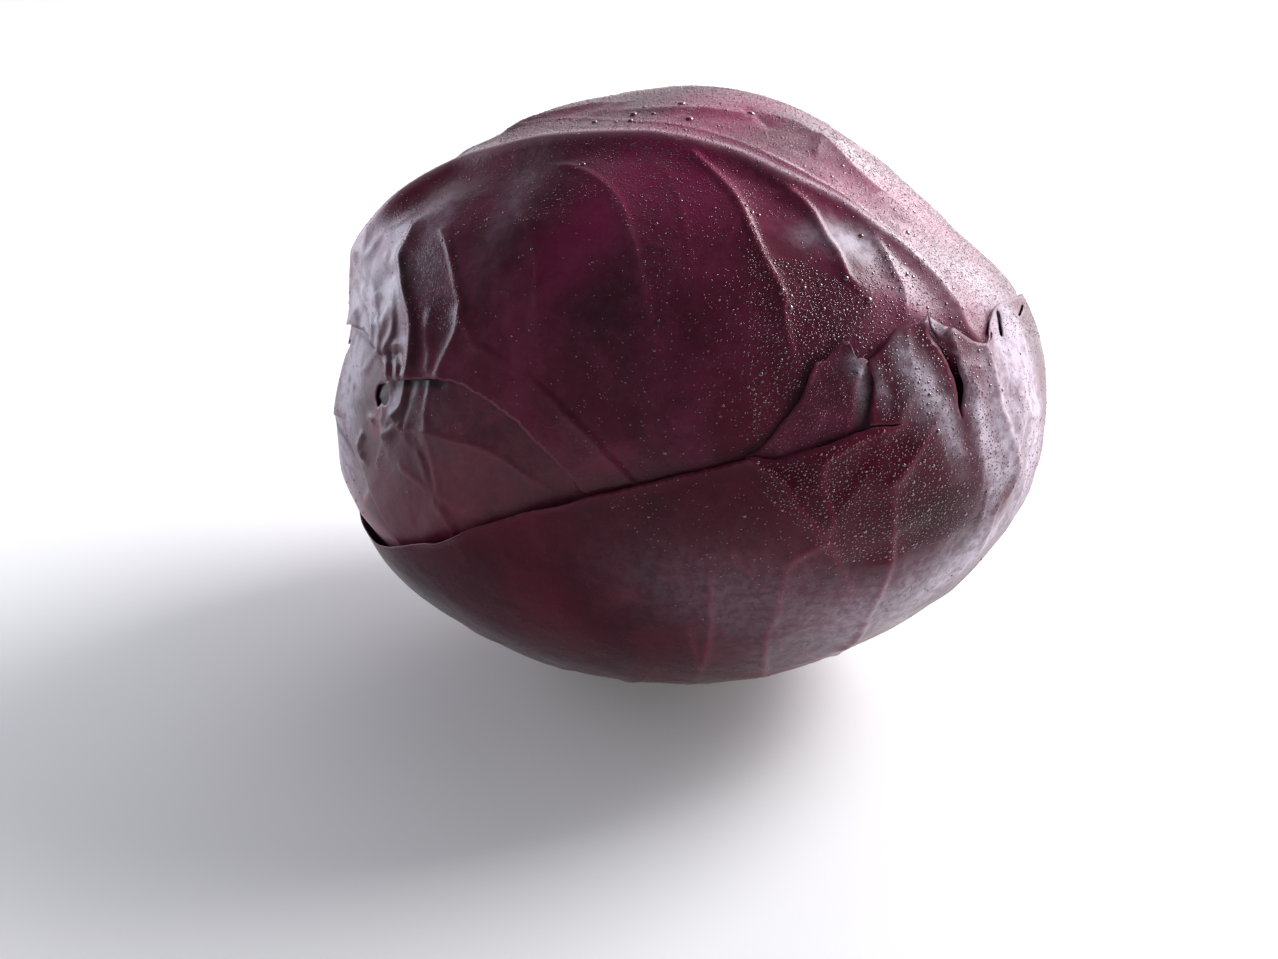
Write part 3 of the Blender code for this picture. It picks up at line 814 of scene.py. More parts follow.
DEEP = (0.060, 0.0070, 0.0190)
MID = (0.130, 0.0085, 0.0300)
RED = (0.240, 0.0110, 0.0480)
VEIN = (0.225, 0.0230, 0.0560)
# pale bloom colour, which also paints the highlights and reflections
BLOOM_HIGHLIGHT = (0.680, 0.600, 0.700)
M_TOP = leaf_material("leaf_top_skin", DEEP, MID, (0.260, 0.0100, 0.0750), VEIN, BLOOM_HIGHLIGHT, wax=0.04, roughness=0.27)
# the front leaf's colours are a darker copy of the others: painted shade for the front, with a weaker specular level
M_FRONT_SHADED = leaf_material("leaf_front_skin", (0.034, 0.0035, 0.0115), (0.090, 0.0048, 0.0190), (0.13, 0.009, 0.028), VEIN, BLOOM_HIGHLIGHT, wax=0.01, roughness=0.27, seed=0.3, level=0.14)
# the left leaves' bloom colour also paints their lavender highlights
M_LEFT = leaf_material("leaf_left_skin", DEEP, MID, RED, VEIN, (0.68, 0.61, 0.70), wax=0.05, roughness=0.36, seed=0.7)
M_BACK = leaf_material("leaf_back_skin", DEEP, MID, RED, VEIN, BLOOM_HIGHLIGHT, wax=0.08, roughness=0.38, seed=1.1, net=0.12)

# ------------------------------------------------------------------ the leaves
R = ring


def generic_veins(leaf, psi, reach=(14, 158), high=4.0, wide=(8.0, 1.0), side=78, seed=3, start=30, rise=1.0, rib=0.9,
                  sides=(1, -1), tint=1.0):
    """A midrib from the stump with curved side veins and their cross veins."""
    rng = np.random.default_rng(seed)
    p = math.radians(psi)
    q = np.array((0, -math.sin(p), math.cos(p)))
    stem = np.array((-1.0, 0, 0))
    n = unit(np.cross(stem, q))

    def at(theta, t):
        a, b = math.radians(theta), math.radians(t)
        return math.cos(b) * (stem * math.cos(a) + q * math.sin(a)) + math.sin(b) * n

    bend = rng.uniform(-3, 3)
    mid = [at(th, bend * math.sin((th - reach[0]) / 50.0)) for th in np.linspace(reach[0], reach[1], 14)]
    leaf.vein_line(mid, high=(high, 0.35), wide=wide, colour=0.55, ends=(0.0, 0.15), rib=rib)
    leaf.tent(mid, (1.6 * rise, 0.3), (9.0, 6.0), ends=(0.0, 0.2))
    k = 0
    for s in sides:
        theta = start + rng.uniform(0, 8)
        rows = []
        while theta < reach[1] - 16:
            far = side * rng.uniform(0.86, 1.0) * (0.55 + 0.45 * math.sin(math.radians(min(theta + 25, 150))))
            lean = rng.uniform(0.55, 0.75)
            base = bend * math.sin((theta - reach[0]) / 50.0)
            pts = []
            for f in np.linspace(0, 1, 9):
                t = far * f
                th = theta + lean * far * (0.55 * f + 0.45 * f * f) * (1 - 0.35 * max(theta - 60, 0) / 100)
                pts.append(at(min(th, 172), base * (1 - f) + s * t) + rng.normal(0, 0.006, 3))
            pts = [unit(x) for x in pts]
            leaf.vein_line(pts, high=(0.50 * rise, 0.10), wide=(1.35, 0.50), colour=0.8 * tint, fold=0.8 * rise, fold_spread=6.0,
                           ends=(0.0, 0.3), rib=rib * 0.15)
            rows.append(pts)
            # a fork
            i = int(rng.integers(3, 6))
            fork = [pts[i]]
            for j in range(1, 4):
                fork.append(unit(pts[min(i + j, 8)] + (0.05 * j) * unit(pts[min(i + j, 8)] - pts[max(i - 2, 0)])
                                 * np.array((1.0, 1.0, 1.0)) + 0.045 * j * np.array((1.0, 0, 0))))
            leaf.vein_line(fork, high=(0.35, 0.1), wide=(0.9, 0.45), colour=0.55 * tint, fold=0.35 * rise, fold_spread=3.0, ends=(0.0, 0.4))
            theta += rng.uniform(15, 21)
            k += 1
        for a, b in zip(rows[:-1], rows[1:]):
            for i in (2, 3, 5, 6):
                j = min(i + int(rng.integers(0, 2)), 8)
                mid_p = unit(a[i] + b[j] + rng.normal(0, 0.05, 3))
                leaf.vein_line([a[i], mid_p, b[j]], high=(0.16 * rise, 0.16 * rise), wide=(0.55, 0.5), colour=0.40 * tint, ends=(0.0, 0.0))


def swells(leaf, size=0.8, scale=26.0, seed=0):
    leaf.broad += (size * fractal(leaf.space, scale, 2, seed)).astype(np.float32)
    leaf.fine += (0.10 * fractal(leaf.space, 5.0, 2, seed + 5)).astype(np.float32)


def margin_lift(leaf, high=0.7, spread=3.0, seed=0):
    """The free margin stands off a little, more here and less there."""
    wave = 0.55 + 0.6 * fractal(leaf.space, 14.0, 2, seed)
    leaf.broad += (high * np.clip(wave, 0, 1.6) * np.exp(-np.maximum(leaf.sd, 0) / spread)).astype(np.float32)


# the back, inside first
back_upper = Leaf("leaf_back_upper", [R(12, -95), R(12, -60), R(14, -25), R(28, -18), R(48, -24), R(75, -28),
                                      R(100, -38), R(122, -48), R(142, -60), R(156, -85), R(156, -125),
                                      R(138, -128), R(112, -116), R(82, -112), R(52, -110), R(26, -106)],
                  3.0, seed=2)
back_lower = Leaf("leaf_back_lower", [R(12, -165), R(12, -125), R(13, -80), R(28, -82), R(50, -88), R(75, -92),
                                      R(100, -95), R(122, -100), R(142, -112), R(152, -140), R(142, -165),
                                      R(115, -160), R(85, -156), R(55, -160), R(30, -172)],
                  2.3, under=[back_upper], seed=3, ragged=0.5)
lower_left = Leaf("leaf_lower_left", [R(12, 150), R(12, 110), R(13, 78), R(24, 66), R(36, 66), *way((400, 400), (442, 505),
                                      (490, 585), (538, 617), (570, 641), inset=2.6), R(66, 150), R(44, 160), R(24, 165)],
                  3.0, seed=4, ragged=0.5)
front_left = Leaf("leaf_front_left", [R(12, 84), R(12, 52), R(25, 52), R(36, 56), *way((422, 329), (482, 349), (538, 385),
                                      (602, 449), (650, 505), (666, 577), (602, 617), (514, 617), (442, 585), (394, 537),
                                      (366, 481), (358, 463), (352, 447), (350, 436), (348, 421), (344, 413), (342, 402),
                                      (341, 392), (339, 382), (344.5, 364), (348, 354), (351, 342), inset=2.0), R(20, 84)],
                  2.3, under=[lower_left], seed=5, ragged=0.18,
                  holes=[way((378, 386), (374.5, 396), (375.5, 403), (377, 408.5), (381, 405), (388, 406), (388.5, 396),
                             (386, 386), inset=2.0)])
top = Leaf("leaf_top", [R(12, 58), R(12, 28), R(13, -6), R(24, -20), R(38, -32), R(56, -38), R(80, -44), R(104, -56),
                        R(124, -68), R(146, -88), R(160, -110), *way((1026, 393), (986, 441), (922, 473), (858, 505),
                        (762, 529), (666, 545), (602, 515), (560, 469), (520, 429), (482, 400), (446, 382), (424, 381),
                        (404, 382), (385, 382.5), (383.5, 366), (373, 350), (364, 337), (354, 328.5), (341, 326), inset=0.8),
                        R(19, 66)],
           1.5, under=[back_upper, front_left, back_lower], seed=6, ragged=0.18, sharp=(24, 29))
torn = Leaf("leaf_front_torn", way((745, 458), (757.6, 449.7), (776, 430), (786, 415), (796.5, 400), (800.4, 393), (804, 386),
                                   (806.5, 378.6), (807.6, 371.7), (811.4, 365.5), (815, 360.5), (821, 359.5), (825.6, 354.8),
                                   (831, 349.5), (836, 344), (841, 339.5), (847, 340.3), (849, 345), (853, 349.5), (858, 353),
                                   (866, 359.4), (872, 368), (880, 392), (876, 425), (872, 470), (834, 505), (770, 500),
                                   (742, 480), inset=0.4),
            0.8, under=[top], seed=7, ragged=0.12, sharp=(9, 10, 15, 16, 20), skin=0.4)
EDGE = [(374, 545), (402, 549), (442, 540), (490, 525), (542, 509), (590, 497), (642, 485), (690, 473), (738, 461), (753, 456.5),
        (774.5, 459), (794, 453), (811, 447), (830, 442), (847, 435), (856, 431.5), (862, 429.5), (871.5, 425.5), (880, 424.4),
        (890, 424), (903, 420.6), (890, 422.6), (880, 423), (869.5, 423.5), (868.8, 413), (871.5, 401.5), (873, 390),
        (873.5, 377), (867, 364), (866.9, 359.4), (871.5, 355.6), (877.6, 350), (882, 344), (885, 338.8), (888, 332.7),
        (892, 326.5), (898, 324.6), (909, 321.2), (917.5, 320), (922.4, 316.3), (925.5, 309.5), (925, 316.6), (925.6, 322),
        (925.4, 329), (928, 335.7), (933, 341.5), (937.4, 348), (941.5, 356.4), (944.8, 364.7), (948, 372), (951.5, 378.8),
        (952.6, 384), (954.4, 391), (955, 399.5), (956.4, 408), (959.5, 417), (961.5, 408), (963, 399.5), (963.5, 391),
        (964, 384.6), (963, 378.8), (959, 370.5), (956.4, 360.5), (954.8, 353), (950.6, 348), (946.5, 340.6), (943, 338),
        (938.6, 336.5), (935, 330.7), (932, 323), (927.6, 310.5), (936.5, 316.5), (945.5, 325), (942.2, 334), (946.4, 327.5),
        (951, 326), (956.4, 328.6), (963, 333), (969.7, 337), (975.5, 339.4), (982, 341), (984.6, 336), (986.4, 329), (989, 321), (992.4, 311),
        (996, 303), (1003, 298.5), (1012, 295), (1022, 292)]
TIPS = [(862, 429.5), (903, 420.6), (869.5, 423.5), (866.9, 359.4), (892, 326.5), (925.5, 309.5), (959.5, 417), (938.6, 336.5),
        (927.6, 310.5), (945.5, 325), (942.2, 334), (946.4, 327.5), (982, 341)]
# the right-hand flap of the tear stands up, so its margin lies further out
RAISED = EDGE[EDGE.index((961.5, 408)):EDGE.index((982, 341))]
front = Leaf("leaf_front", [R(12, 192), R(12, 150), R(24, 132), R(38, 126),
                            *way(*[q + (-2.0,) if q in RAISED else q for q in EDGE], inset=-0.8),
                            R(141, -69), R(132, -97), R(118, -113), R(98, -124), R(74, -129), R(50, -132), R(30, -145)],
             0.0, under=[top, torn, front_left, lower_left, back_lower], seed=8, ragged=0.07,
             sharp=[4 + EDGE.index(q) for q in TIPS],
             holes=[way(*SLIT, inset=-0.5) for SLIT in (
                 ((987.4, 329.5), (989.6, 329.5), (988.6, 334), (986.4, 338.5), (984.2, 340.5), (985.8, 336)),
                 ((995.6, 308), (998.2, 309), (1000.8, 320), (1001.6, 333), (998.8, 332), (997.6, 320)),
                 ((1021, 301), (1023.4, 302.5), (1021.4, 309), (1018.8, 313.5), (1017, 311.5), (1019.5, 306)))])

# -- relief of the top leaf ------------------------------------------------
swells(top, 0.55, 30.0, 1)
MIDRIB = [R(12, 44), R(20, 43), (352, 246, -2.6), (368, 222, -2.7), (390, 198, -2.7), (412, 182, -2.6), (433, 170, -2.5),
          (458, 159, -2.3), (500, 147.5, -1.9), (560, 137.5, -1.4), (640, 135, -1.0), (700, 145, -0.8), (738, 155, -0.7),
          (786, 177, -0.5), (834, 200, -0.3), (872, 226, -0.1), (891, 238, 0.0), (920, 260, 0.1), (942, 283, 0.2),
          (958, 306, 0.3), (976, 338, 0.3), R(168, -25)]
top.tent(MIDRIB, (3.9, 1.3), (9.0, 7.0), (5.6, 2.6), power=1.5, ends=(0.0, 0.1))
top.vein_line(MIDRIB, high=(0.5, 0.25), wide=(2.6, 0.9), colour=0.30, ends=(0.0, 0.1), rib=0.45)
top.stain("vein", [(700, 150, 0), (738, 161, 0), (786, 184, 0), (834, 208, 0), (872, 235, 0.3), (905, 260, 0.5), (935, 288, 0.5),
                   (958, 316, 0.5), (975, 340, 0.5)], 0.8, 0.8)
LOWER_RIDGE = [R(14, 60), R(20, 60), (352, 272, -0.4), (370, 248, -0.4), (389, 235, -0.4), (403, 226, -0.3), (420, 216, -0.2),
               (431, 208, -0.1), (447, 202, 0), (477, 197, 0.2), (506, 188, 0.4), (535, 185, 0.8)]
top.tent(LOWER_RIDGE, (1.9, 0.5), (2.6, 3.4), (5.0, 5.0), power=1.4, soft=0.9, ends=(0.0, 0.4))
# side veins below the midrib
top.vein_line([(545, 160), (553, 166), (573, 168.5), (597, 180.6), (614, 197.6), (623.6, 217), (628.4, 234), (633, 248), (642, 290),
               (655, 340), (672, 400), (690, 450)], high=(0.35, 0.15), wide=(1.0, 0.8), colour=0.8, fold=0.7, fold_spread=8.0, ends=(0.1, 0.5))
top.tent([(690, 157), (712, 174), (731, 193), (740, 207), (751, 232), (762, 256), (771, 272), (782.5, 295), (784, 320), (792, 350),
          (798, 390)], (1.1, 0.8), 3.0, 7.0, soft=0.5, ends=(0.0, 0.4))
top.vein_line([(690, 157), (712, 174), (731, 193), (740, 207), (751, 232), (762, 256), (771, 272), (782.5, 295), (784, 320),
               (792, 350), (798, 390)], high=(0.5, 0.3), wide=(1.0, 0.7), colour=1.0, inset=0.3)
top.tent([(786, 192), (798, 200), (809, 211), (823, 234), (835, 250), (847, 275), (866, 293), (876, 316)], (1.6, 0.8), 8.0, 2.4,
         soft=0.4, ends=(0.0, 0.3))
top.vein_line([(786, 192), (798, 200), (809, 211), (823, 234), (835, 250), (847, 275), (866, 293)], high=(0.35, 0.2), wide=(0.9, 0.6),
              colour=0.9, inset=0.2)
top.tent([(872, 240), (880, 248), (887, 260), (895, 272), (901, 283), (904, 292), (904, 315), (906, 330)], (0.9, 0.9), 5.0, 1.8,
         soft=0.4, ends=(0.0, 0.3))
top.vein_line([(872, 240), (887, 260), (901, 283), (904, 300), (905, 322)], high=(0.25, 0.2), wide=(0.8, 0.6), colour=0.8, inset=0.5)
top.vein_line([(440, 232), (444, 243), (447, 257), (450, 272), (452, 287), (457, 303), (458, 316), (466, 335), (480, 370)],
              high=(0.3, 0.15), wide=(0.8, 0.6), colour=0.6, fold=0.4, fold_spread=3.0, inset=0.9)
top.vein_line([(507, 200), (524, 222), (534, 256), (535, 275), (534, 304), (540, 360), (556, 420)], high=(0.2, 0.1),
              wide=(0.9, 0.6), colour=0.4, fold=0.5, fold_spread=6.0, ends=(0.2, 0.4))
top.vein_line([(640, 150), (662, 172), (676, 200), (684, 232), (690, 270), (700, 330)], high=(0.12, 0.05), wide=(0.9, 0.6),
              colour=0.3, fold=0.2, fold_spread=6.0, ends=(0.1, 0.5))
top.vein_line([(740, 210), (725, 240), (716, 280)], high=(0.2, 0.1), wide=(0.7, 0.5), colour=0.4, ends=(0.0, 0.6))
top.vein_line([(760, 254), (795, 262), (838, 256)], high=(0.15, 0.15), wide=(0.7, 0.5), colour=0.35)
top.vein_line([(628, 234), (665, 250), (684, 232)], high=(0.12, 0.12), wide=(0.7, 0.5), colour=0.25)
top.vein_line([(773, 276), (810, 292), (848, 276)], high=(0.12, 0.12), wide=(0.7, 0.5), colour=0.25)
# folds at the left end
top.tent([(430, 208), (418, 222), (406, 243), (398, 256), (399, 279), (403, 298), (408, 315), (409, 332), (408.5, 348), (407, 364),
          (404, 377)], (2.0, 1.7), 2.0, 4.2, soft=0.3, ends=(0.15, 0.0), inset=0.0)
top.tent([(389, 270), (389, 295), (389, 309), (388, 326), (386, 338), (381.5, 350), (384, 360), (386, 374)], (0.7, 1.2), 1.8, 2.2,
         soft=0.3, ends=(0.3, 0.0), inset=0.0)
top.tent([(436, 296), (428, 315), (425, 339), (428, 356), (426, 378)], 0.6, 3.0, 2.5, soft=0.3, ends=(0.3, 0.1))
top.tent([(457, 299), (456, 312), (455, 329), (446, 350), (441, 362), (436, 376)], 0.8, 3.0, 2.0, soft=0.3, ends=(0.2, 0.0))
for k, line in enumerate((((352, 262), (357, 290), (363, 310), (368, 326), (369, 342), (368, 352)),
                          ((360, 262), (366, 285), (372, 310), (376, 332), (376, 345), (375, 356)),
                          ((378, 300), (380, 318), (379, 336)), ((347, 292), (350, 308), (354, 325)),
                          ((355, 308), (349, 324)))):
    top.tent(line, 0.6, 1.4, 1.0, soft=0.2, ends=(0.3, 0.0), inset=0.2)
top.patch("broad", (390, 356), 1.8, -0.9, (0.7, 2.0, 0), inset=0.5)
# painted shade in the creases beside the folds
top.stain("dark", [(401, 250), (403, 275), (408, 298), (413, 318), (414, 340), (412, 365), (409, 380)], 1.5, 0.75, inset=0.5)
top.stain("dark", [(393, 300), (392, 325), (390, 345), (389, 366)], 0.9, 0.7, inset=0.5)
top.stain("dark", [(448, 246), (452, 262), (456, 280), (461, 300), (464, 318)], 1.0, 0.4, inset=0.8)
top.patch("broad", (384, 282), 4.0, -0.9, (0.7, 1.4, 0))
# folds above the midrib, which make the bulges of the upper left edge
top.tent([(433, 167), (456, 153), (482, 143), (505, 128)], 1.2, 2.6, ends=(0.3, 0.3), soft=0.4, inset=-1.0)
top.tent([(480, 146), (500, 134), (523, 120), (560, 110), (596, 103), (640, 96)], 1.5, 3.5, 3.5, ends=(0.3, 0.3), soft=0.5, inset=-0.5)
top.tent([(526, 134), (559, 120), (596, 111), (650, 107), (700, 107), (740, 111), (778, 115), (818, 134), (856, 168),
          (900, 205), (937, 232), (968, 250), (1003, 277)], (0.9, 0.9), 4.0, 3.0, ends=(0.3, 0.1), soft=0.6, inset=0.0)
top.tent([(738, 108), (756, 120), (772, 134)], -0.8, 2.0, ends=(0.2, 0.3))
top.tent([(817, 134), (814, 146), (813, 158)], 0.9, 3.0, 1.5, ends=(0.2, 0.3), soft=0.3)
generic_veins(top, 8, reach=(14, 150), high=0.01, wide=(1.0, 0.6), side=62, seed=11, start=34, rise=0.35, rib=0.0, sides=(1,), tint=0.45)
margin_lift(top, 0.5, 3.0, 4)
# painted lavender highlights on the left end, over its bloom, with a painted oval highlight and painted shade round it
top.patch("wax", (366, 300), 10.0, 0.40, (0.8, 1.7, 0))
top.patch("wax", (372, 345), 6.0, 0.45)
top.patch("wax", (385, 283), 2.4, 0.8, (0.8, 1.7, 0), inset=0.5)
top.stain("dark", [(380, 258), (374, 275), (375, 292), (382, 303), (391, 304)], 0.5, 0.45, inset=0.5)
# painted highlights along the lower ridge and the midrib's crest, and a painted sheen below the midrib
top.stain("wax", LOWER_RIDGE[1:9], 2.6, 0.45)
top.stain("wax", [q[:2] + (0.0,) for q in MIDRIB[6:20]], 0.8, 0.55)
top.patch("wax", (520, 190), 9.0, 0.22, (2.2, 0.6, 0))
top.patch("wax", (438, 216), 6.0, 0.42, (1.6, 0.8, 20))
top.patch("thin", (700, 175), 10.0, 0.35)
# less highlight and painted shade on the bulges below the crest
top.patch("wax", (480, 167), 4.5, -0.12, (1.8, 0.6, 15))
top.patch("dark", (480, 167), 4.5, 0.30, (1.8, 0.6, 15))
# painted glare over the crown, and small changes of painted haze elsewhere on the top
top.patch("wax", (900, 180), 26.0, 0.14, (1.6, 0.8, -35))
top.patch("wax", (750, 138), 14.0, -0.05, (2.0, 0.5, -20))
top.patch("wax", (650, 215), 22.0, 0.025, (1.8, 0.7, 0))
top.patch("wax", (640, 105), 26.0, 0.03, (2.0, 0.6, 0))
top.patch("thin", (690, 215), 13.0, 0.4)
# painted shadow beside the torn flap's margin
top.stain("dark", [(738, 460), (776, 428), (792, 404), (803, 380), (808, 364), (824, 351), (840, 338)], 1.3, 0.75, inset=1.2)
top.patch("thin", (600, 235), 8.0, 0.25)
top.patch("thin", (700, 120), 24.0, 1.3, (2.4, 0.5, -10))
top.patch("thin", (870, 190), 24.0, 0.7, (1.6, 0.5, -42))
# painted highlights: the bright oval beside the midrib and lit facets towards the right
top.patch("wax", (847, 243), 4.6, 1.15, (0.8, 1.6, 20))
top.patch("wax", (925, 300), 6.0, 0.16, (0.8, 1.6, 30))
top.patch("wax", (902, 285), 5.0, 0.30, (0.8, 1.8, 20))
top.patch("thin", (905, 298), 8.0, 0.5, (0.8, 1.6, 30))
top.patch("wax", (992, 295), 12.0, 0.6, (0.7, 1.8, 25))
top.patch("wax", (800, 236), 3.0, 0.25)
top.patch("thin", (560, 260), 8.0, 0.3)

# painted shade in the tear's gap and behind the front leaf's slits
top.stain("dark", [(926, 312), (930, 328), (937, 341), (947, 356), (955, 374), (958, 392), (959, 414)], 1.9, 0.95, inset=0.8)
top.stain("dark", [(988, 330), (987, 336), (984, 340)], 1.0, 0.95, inset=0.5)
top.stain("dark", [(997, 308), (999, 320), (1000, 333)], 1.0, 0.95, inset=0.5)
top.stain("dark", [(1022, 300), (1020, 307), (1017, 313)], 1.0, 0.95, inset=0.5)
# -- the flap under the front leaf ------------------------------------------
swells(torn, 0.25, 14.0, 2)
torn.vein_line([(855.4, 374.7), (854, 386), (852.4, 401.5), (850, 420), (842, 450)], high=(0.35, 0.2), wide=(0.7, 0.6), colour=1.0, fold=0.4,
               fold_spread=2.5, ends=(0.0, 0.1))
torn.vein_line([(845, 342), (826, 372), (806, 404), (780, 436), (756, 458)], high=(0.1, 0.1), wide=(0.7, 0.5), colour=0.3, fold=0.4,
               fold_spread=4.0)
torn.vein_line([(854, 400), (830, 405), (812, 420)], high=(0.15, 0.1), wide=(0.6, 0.5), colour=0.4)
margin_lift(torn, 0.8, 1.8, 5)
torn.patch("roll", (855, 351), 2.4, 1.7, inset=0.4)
# painted highlights on the curled ribbon and the flap
torn.patch("wax", (857, 356), 2.2, 0.9, (1.0, 1.3, -40), inset=0.4)
torn.patch("wax", (862, 392), 2.0, 0.5, (0.8, 3.0, 0), inset=0.4)
torn.patch("broad", (853.5, 369), 1.7, 0.9, (1.2, 1.0, 0), inset=0.4)
torn.patch("broad", (853, 370), 0.7, -0.9, inset=0.2)
# painted shade in the pit of the knot, with a painted highlight beside it
torn.patch("dark", (853, 370), 0.7, 1.0, inset=0.2)
torn.patch("wax", (857, 371), 0.7, 1.0, inset=0.2)
# painted shadow beside the flap's raised margin
torn.stain("dark", [(858.5, 373), (864, 374.5), (868, 379), (870.5, 388), (869.5, 401), (867.5, 411), (864, 421), (857, 431),
                    (840, 438), (811, 449)], 1.0, 0.85, inset=0.4)
torn.patch("roll", (810, 370), 2.0, 0.5)

def crumple(leaf, corners, high, scale, seed, soft=6.0):
    """Sharp little creases inside a region given by pixels."""
    dirs = leaf.dirs.reshape(-1, 3)
    x, y, facing = pixels(dirs)
    inside = (polygon(x, y, *corners) & (facing > -0.1)).reshape(tuple(leaf.n)).astype(np.float32)
    mask = leaf._blur(inside, int(soft))
    n = fractal(leaf.space, scale, 2, seed)
    ridge = 1.0 - np.minimum(np.abs(n) * 2.4, 1.0)
    leaf.broad += (mask * high * (ridge - 0.4)).astype(np.float32)


# -- relief of the front leaf -----------------------------------------------
swells(front, 0.50, 26.0, 3)
for line, high, wide, colour, fold, spread in (
        (((823, 460), (848, 446), (875, 432), (908, 419)), (0.4, 0.2), (1.0, 0.7), 0.8, 0.9, 4.0),
        (((824, 460), (822, 481), (829.6, 506), (832, 521.6), (826, 538)), (0.45, 0.4), (1.0, 0.9), 0.9, 1.1, 5.0),
        (((892, 482), (905, 468), (920, 445), (935, 418), (949, 390)), (0.45, 0.2), (1.1, 0.7), 0.9, 1.1, 5.0),
        (((845, 646), (859, 634), (869, 613.5), (879.4, 593), (891, 562.4), (892.5, 549.7), (893.4, 526.7), (892, 506),
          (896, 482)), (0.7, 0.45), (1.4, 1.0), 1.0, 1.6, 7.0),
        (((971, 385), (975, 415), (979, 447.7), (982.7, 470.6), (980, 498.7), (971, 514)), (0.3, 0.2), (0.9, 0.7), 0.6, 1.2, 4.0),
        (((982, 345), (988, 366), (994, 389), (1005, 421), (1017, 463), (1009.5, 491), (994, 511), (966, 573)), (0.5, 0.4),
         (1.1, 1.0), 0.85, 1.4, 5.0),
        (((745, 457), (762, 467), (782, 481), (795, 501), (813, 521.6), (826, 538), (838.6, 562), (848.8, 580), (854, 603)), (0.3, 0.45),
         (0.9, 1.0), 0.8, 1.0, 5.0),
        (((823, 542), (808, 549.7), (790, 562), (785, 583), (780, 593), (780, 608), (770, 629), (766, 652), (764, 680)), (0.4, 0.5),
         (1.0, 1.2), 0.9, 1.1, 5.0),
        (((731, 547), (744, 565), (759.5, 585), (775, 590.5)), (0.25, 0.25), (0.8, 0.8), 0.6, 0.6, 4.0),
        (((712, 578), (711, 603), (712, 624), (707, 657), (701, 672), (696, 690)), (0.4, 0.5), (1.0, 1.1), 0.9, 0.9, 5.0),
        (((690.6, 629), (698, 659), (701, 672)), (0.25, 0.25), (0.8, 0.8), 0.7, 0.5, 4.0),
        (((716, 624), (736, 644), (762, 652)), (0.2, 0.2), (0.7, 0.7), 0.4, 0.3, 3.0),
        (((782, 649), (775, 620), (780, 608)), (0.2, 0.2), (0.7, 0.7), 0.5, 0.3, 3.0),
        (((854, 603), (846, 626), (845, 646)), (0.2, 0.2), (0.7, 0.7), 0.5, 0.3, 3.0),
        (((905, 330), (908, 352), (914, 372), (910, 395), (903, 418)), (0.25, 0.15), (0.8, 0.6), 0.6, 0.9, 4.0),
        (((949, 390), (940, 372), (930, 352)), (0.2, 0.1), (0.7, 0.5), 0.4, 0.5, 3.0),
        (((896, 482), (925, 500), (950, 505), (979, 499)), (0.12, 0.12), (0.6, 0.6), 0.25, 0.2, 3.0),
        (((1012, 445), (1030, 420), (1040, 395)), (0.15, 0.1), (0.7, 0.5), 0.4, 0.4, 4.0),
        (((745, 505), (738, 525), (731, 547)), (0.12, 0.12), (0.6, 0.6), 0.3, 0.2, 3.0)):
    front.vein_line(line, high=(high[0] * 0.8, high[1] * 0.8), wide=(wide[0] * 0.8, wide[1] * 0.8), colour=colour * 0.9, fold=fold * 0.85,
                    fold_spread=spread, ends=(0.0, 0.15), inset=-0.9)
crumple(front, ((770, 462), (850, 438), (905, 424), (868, 418), (874, 375), (893, 330), (926, 312), (985, 345), (1040, 345),
                (1045, 470), (1010, 520), (940, 550), (880, 560), (820, 545), (785, 510)), 0.55, 12.0, 31)
crumple(front, ((860, 560), (1010, 510), (1040, 450), (1020, 560), (940, 620), (850, 660), (740, 675), (730, 560)), 0.30, 18.0, 33)
crumple(torn, ((740, 470), (784, 416), (808, 365), (845, 338), (872, 372), (870, 430), (800, 460)), 0.35, 8.0, 32)
crumple(top, ((700, 110), (820, 130), (900, 200), (1010, 280), (1030, 330), (985, 345), (940, 280), (870, 220), (780, 165), (700, 140)), 0.30, 14.0, 34)
crumple(top, ((340, 245), (392, 235), (398, 260), (398, 300), (404, 380), (380, 380), (345, 330)), 0.75, 9.0, 35, 4)
crumple(front_left, ((335, 330), (410, 380), (445, 383), (420, 440), (380, 480), (340, 440)), 0.5, 8.0, 36, 4)
# the tear: the right-hand flap's edge stands up
front.tent([(946, 330), (951, 342), (957, 353), (959, 364), (965, 380), (964, 400)], (1.5, 0.9), 3.8, 0.6, soft=0.3, ends=(0.0, 0.2), inset=-1.6)
front.tent([(947, 327), (956, 329), (966, 335), (980, 341)], 0.6, 1.0, 2.5, soft=0.3, inset=-1.2)
front.tent([(926, 312), (927, 333), (936, 347), (946, 366), (953, 388), (956, 408)], 0.6, 0.6, 2.5, soft=0.3, ends=(0.0, 0.3), inset=-1.2)
front.tent([(893, 326), (910, 321), (925, 311)], 0.7, 1.0, 2.2, soft=0.3, inset=-1.2)
front.tent([(963, 358), (964.7, 366), (968, 374.6), (970, 384), (971.4, 399.5)], 0.9, 3.0, 1.4, soft=0.3, ends=(0.2, 0.3), inset=-1.2)
front.tent([(1000, 525), (986, 517), (964, 524), (940, 542), (915, 556)], 0.6, 3.0, ends=(0.2, 0.3), inset=-1.0)
front.tent([(1016, 500), (1000, 545), (975, 585), (940, 615)], 0.8, 4.0, ends=(0.2, 0.2), inset=-1.0)
front.tent([(876, 368), (883, 371), (893, 375.5)], 0.5, 1.0, soft=0.2, ends=(0.0, 0.3), inset=-1.0)
for at, turn, size in (((560, 503), 0.8, 8.0), ((440, 540), 1.3, 8.0)):
    front.patch("roll", at, size, turn, inset=-1.0)
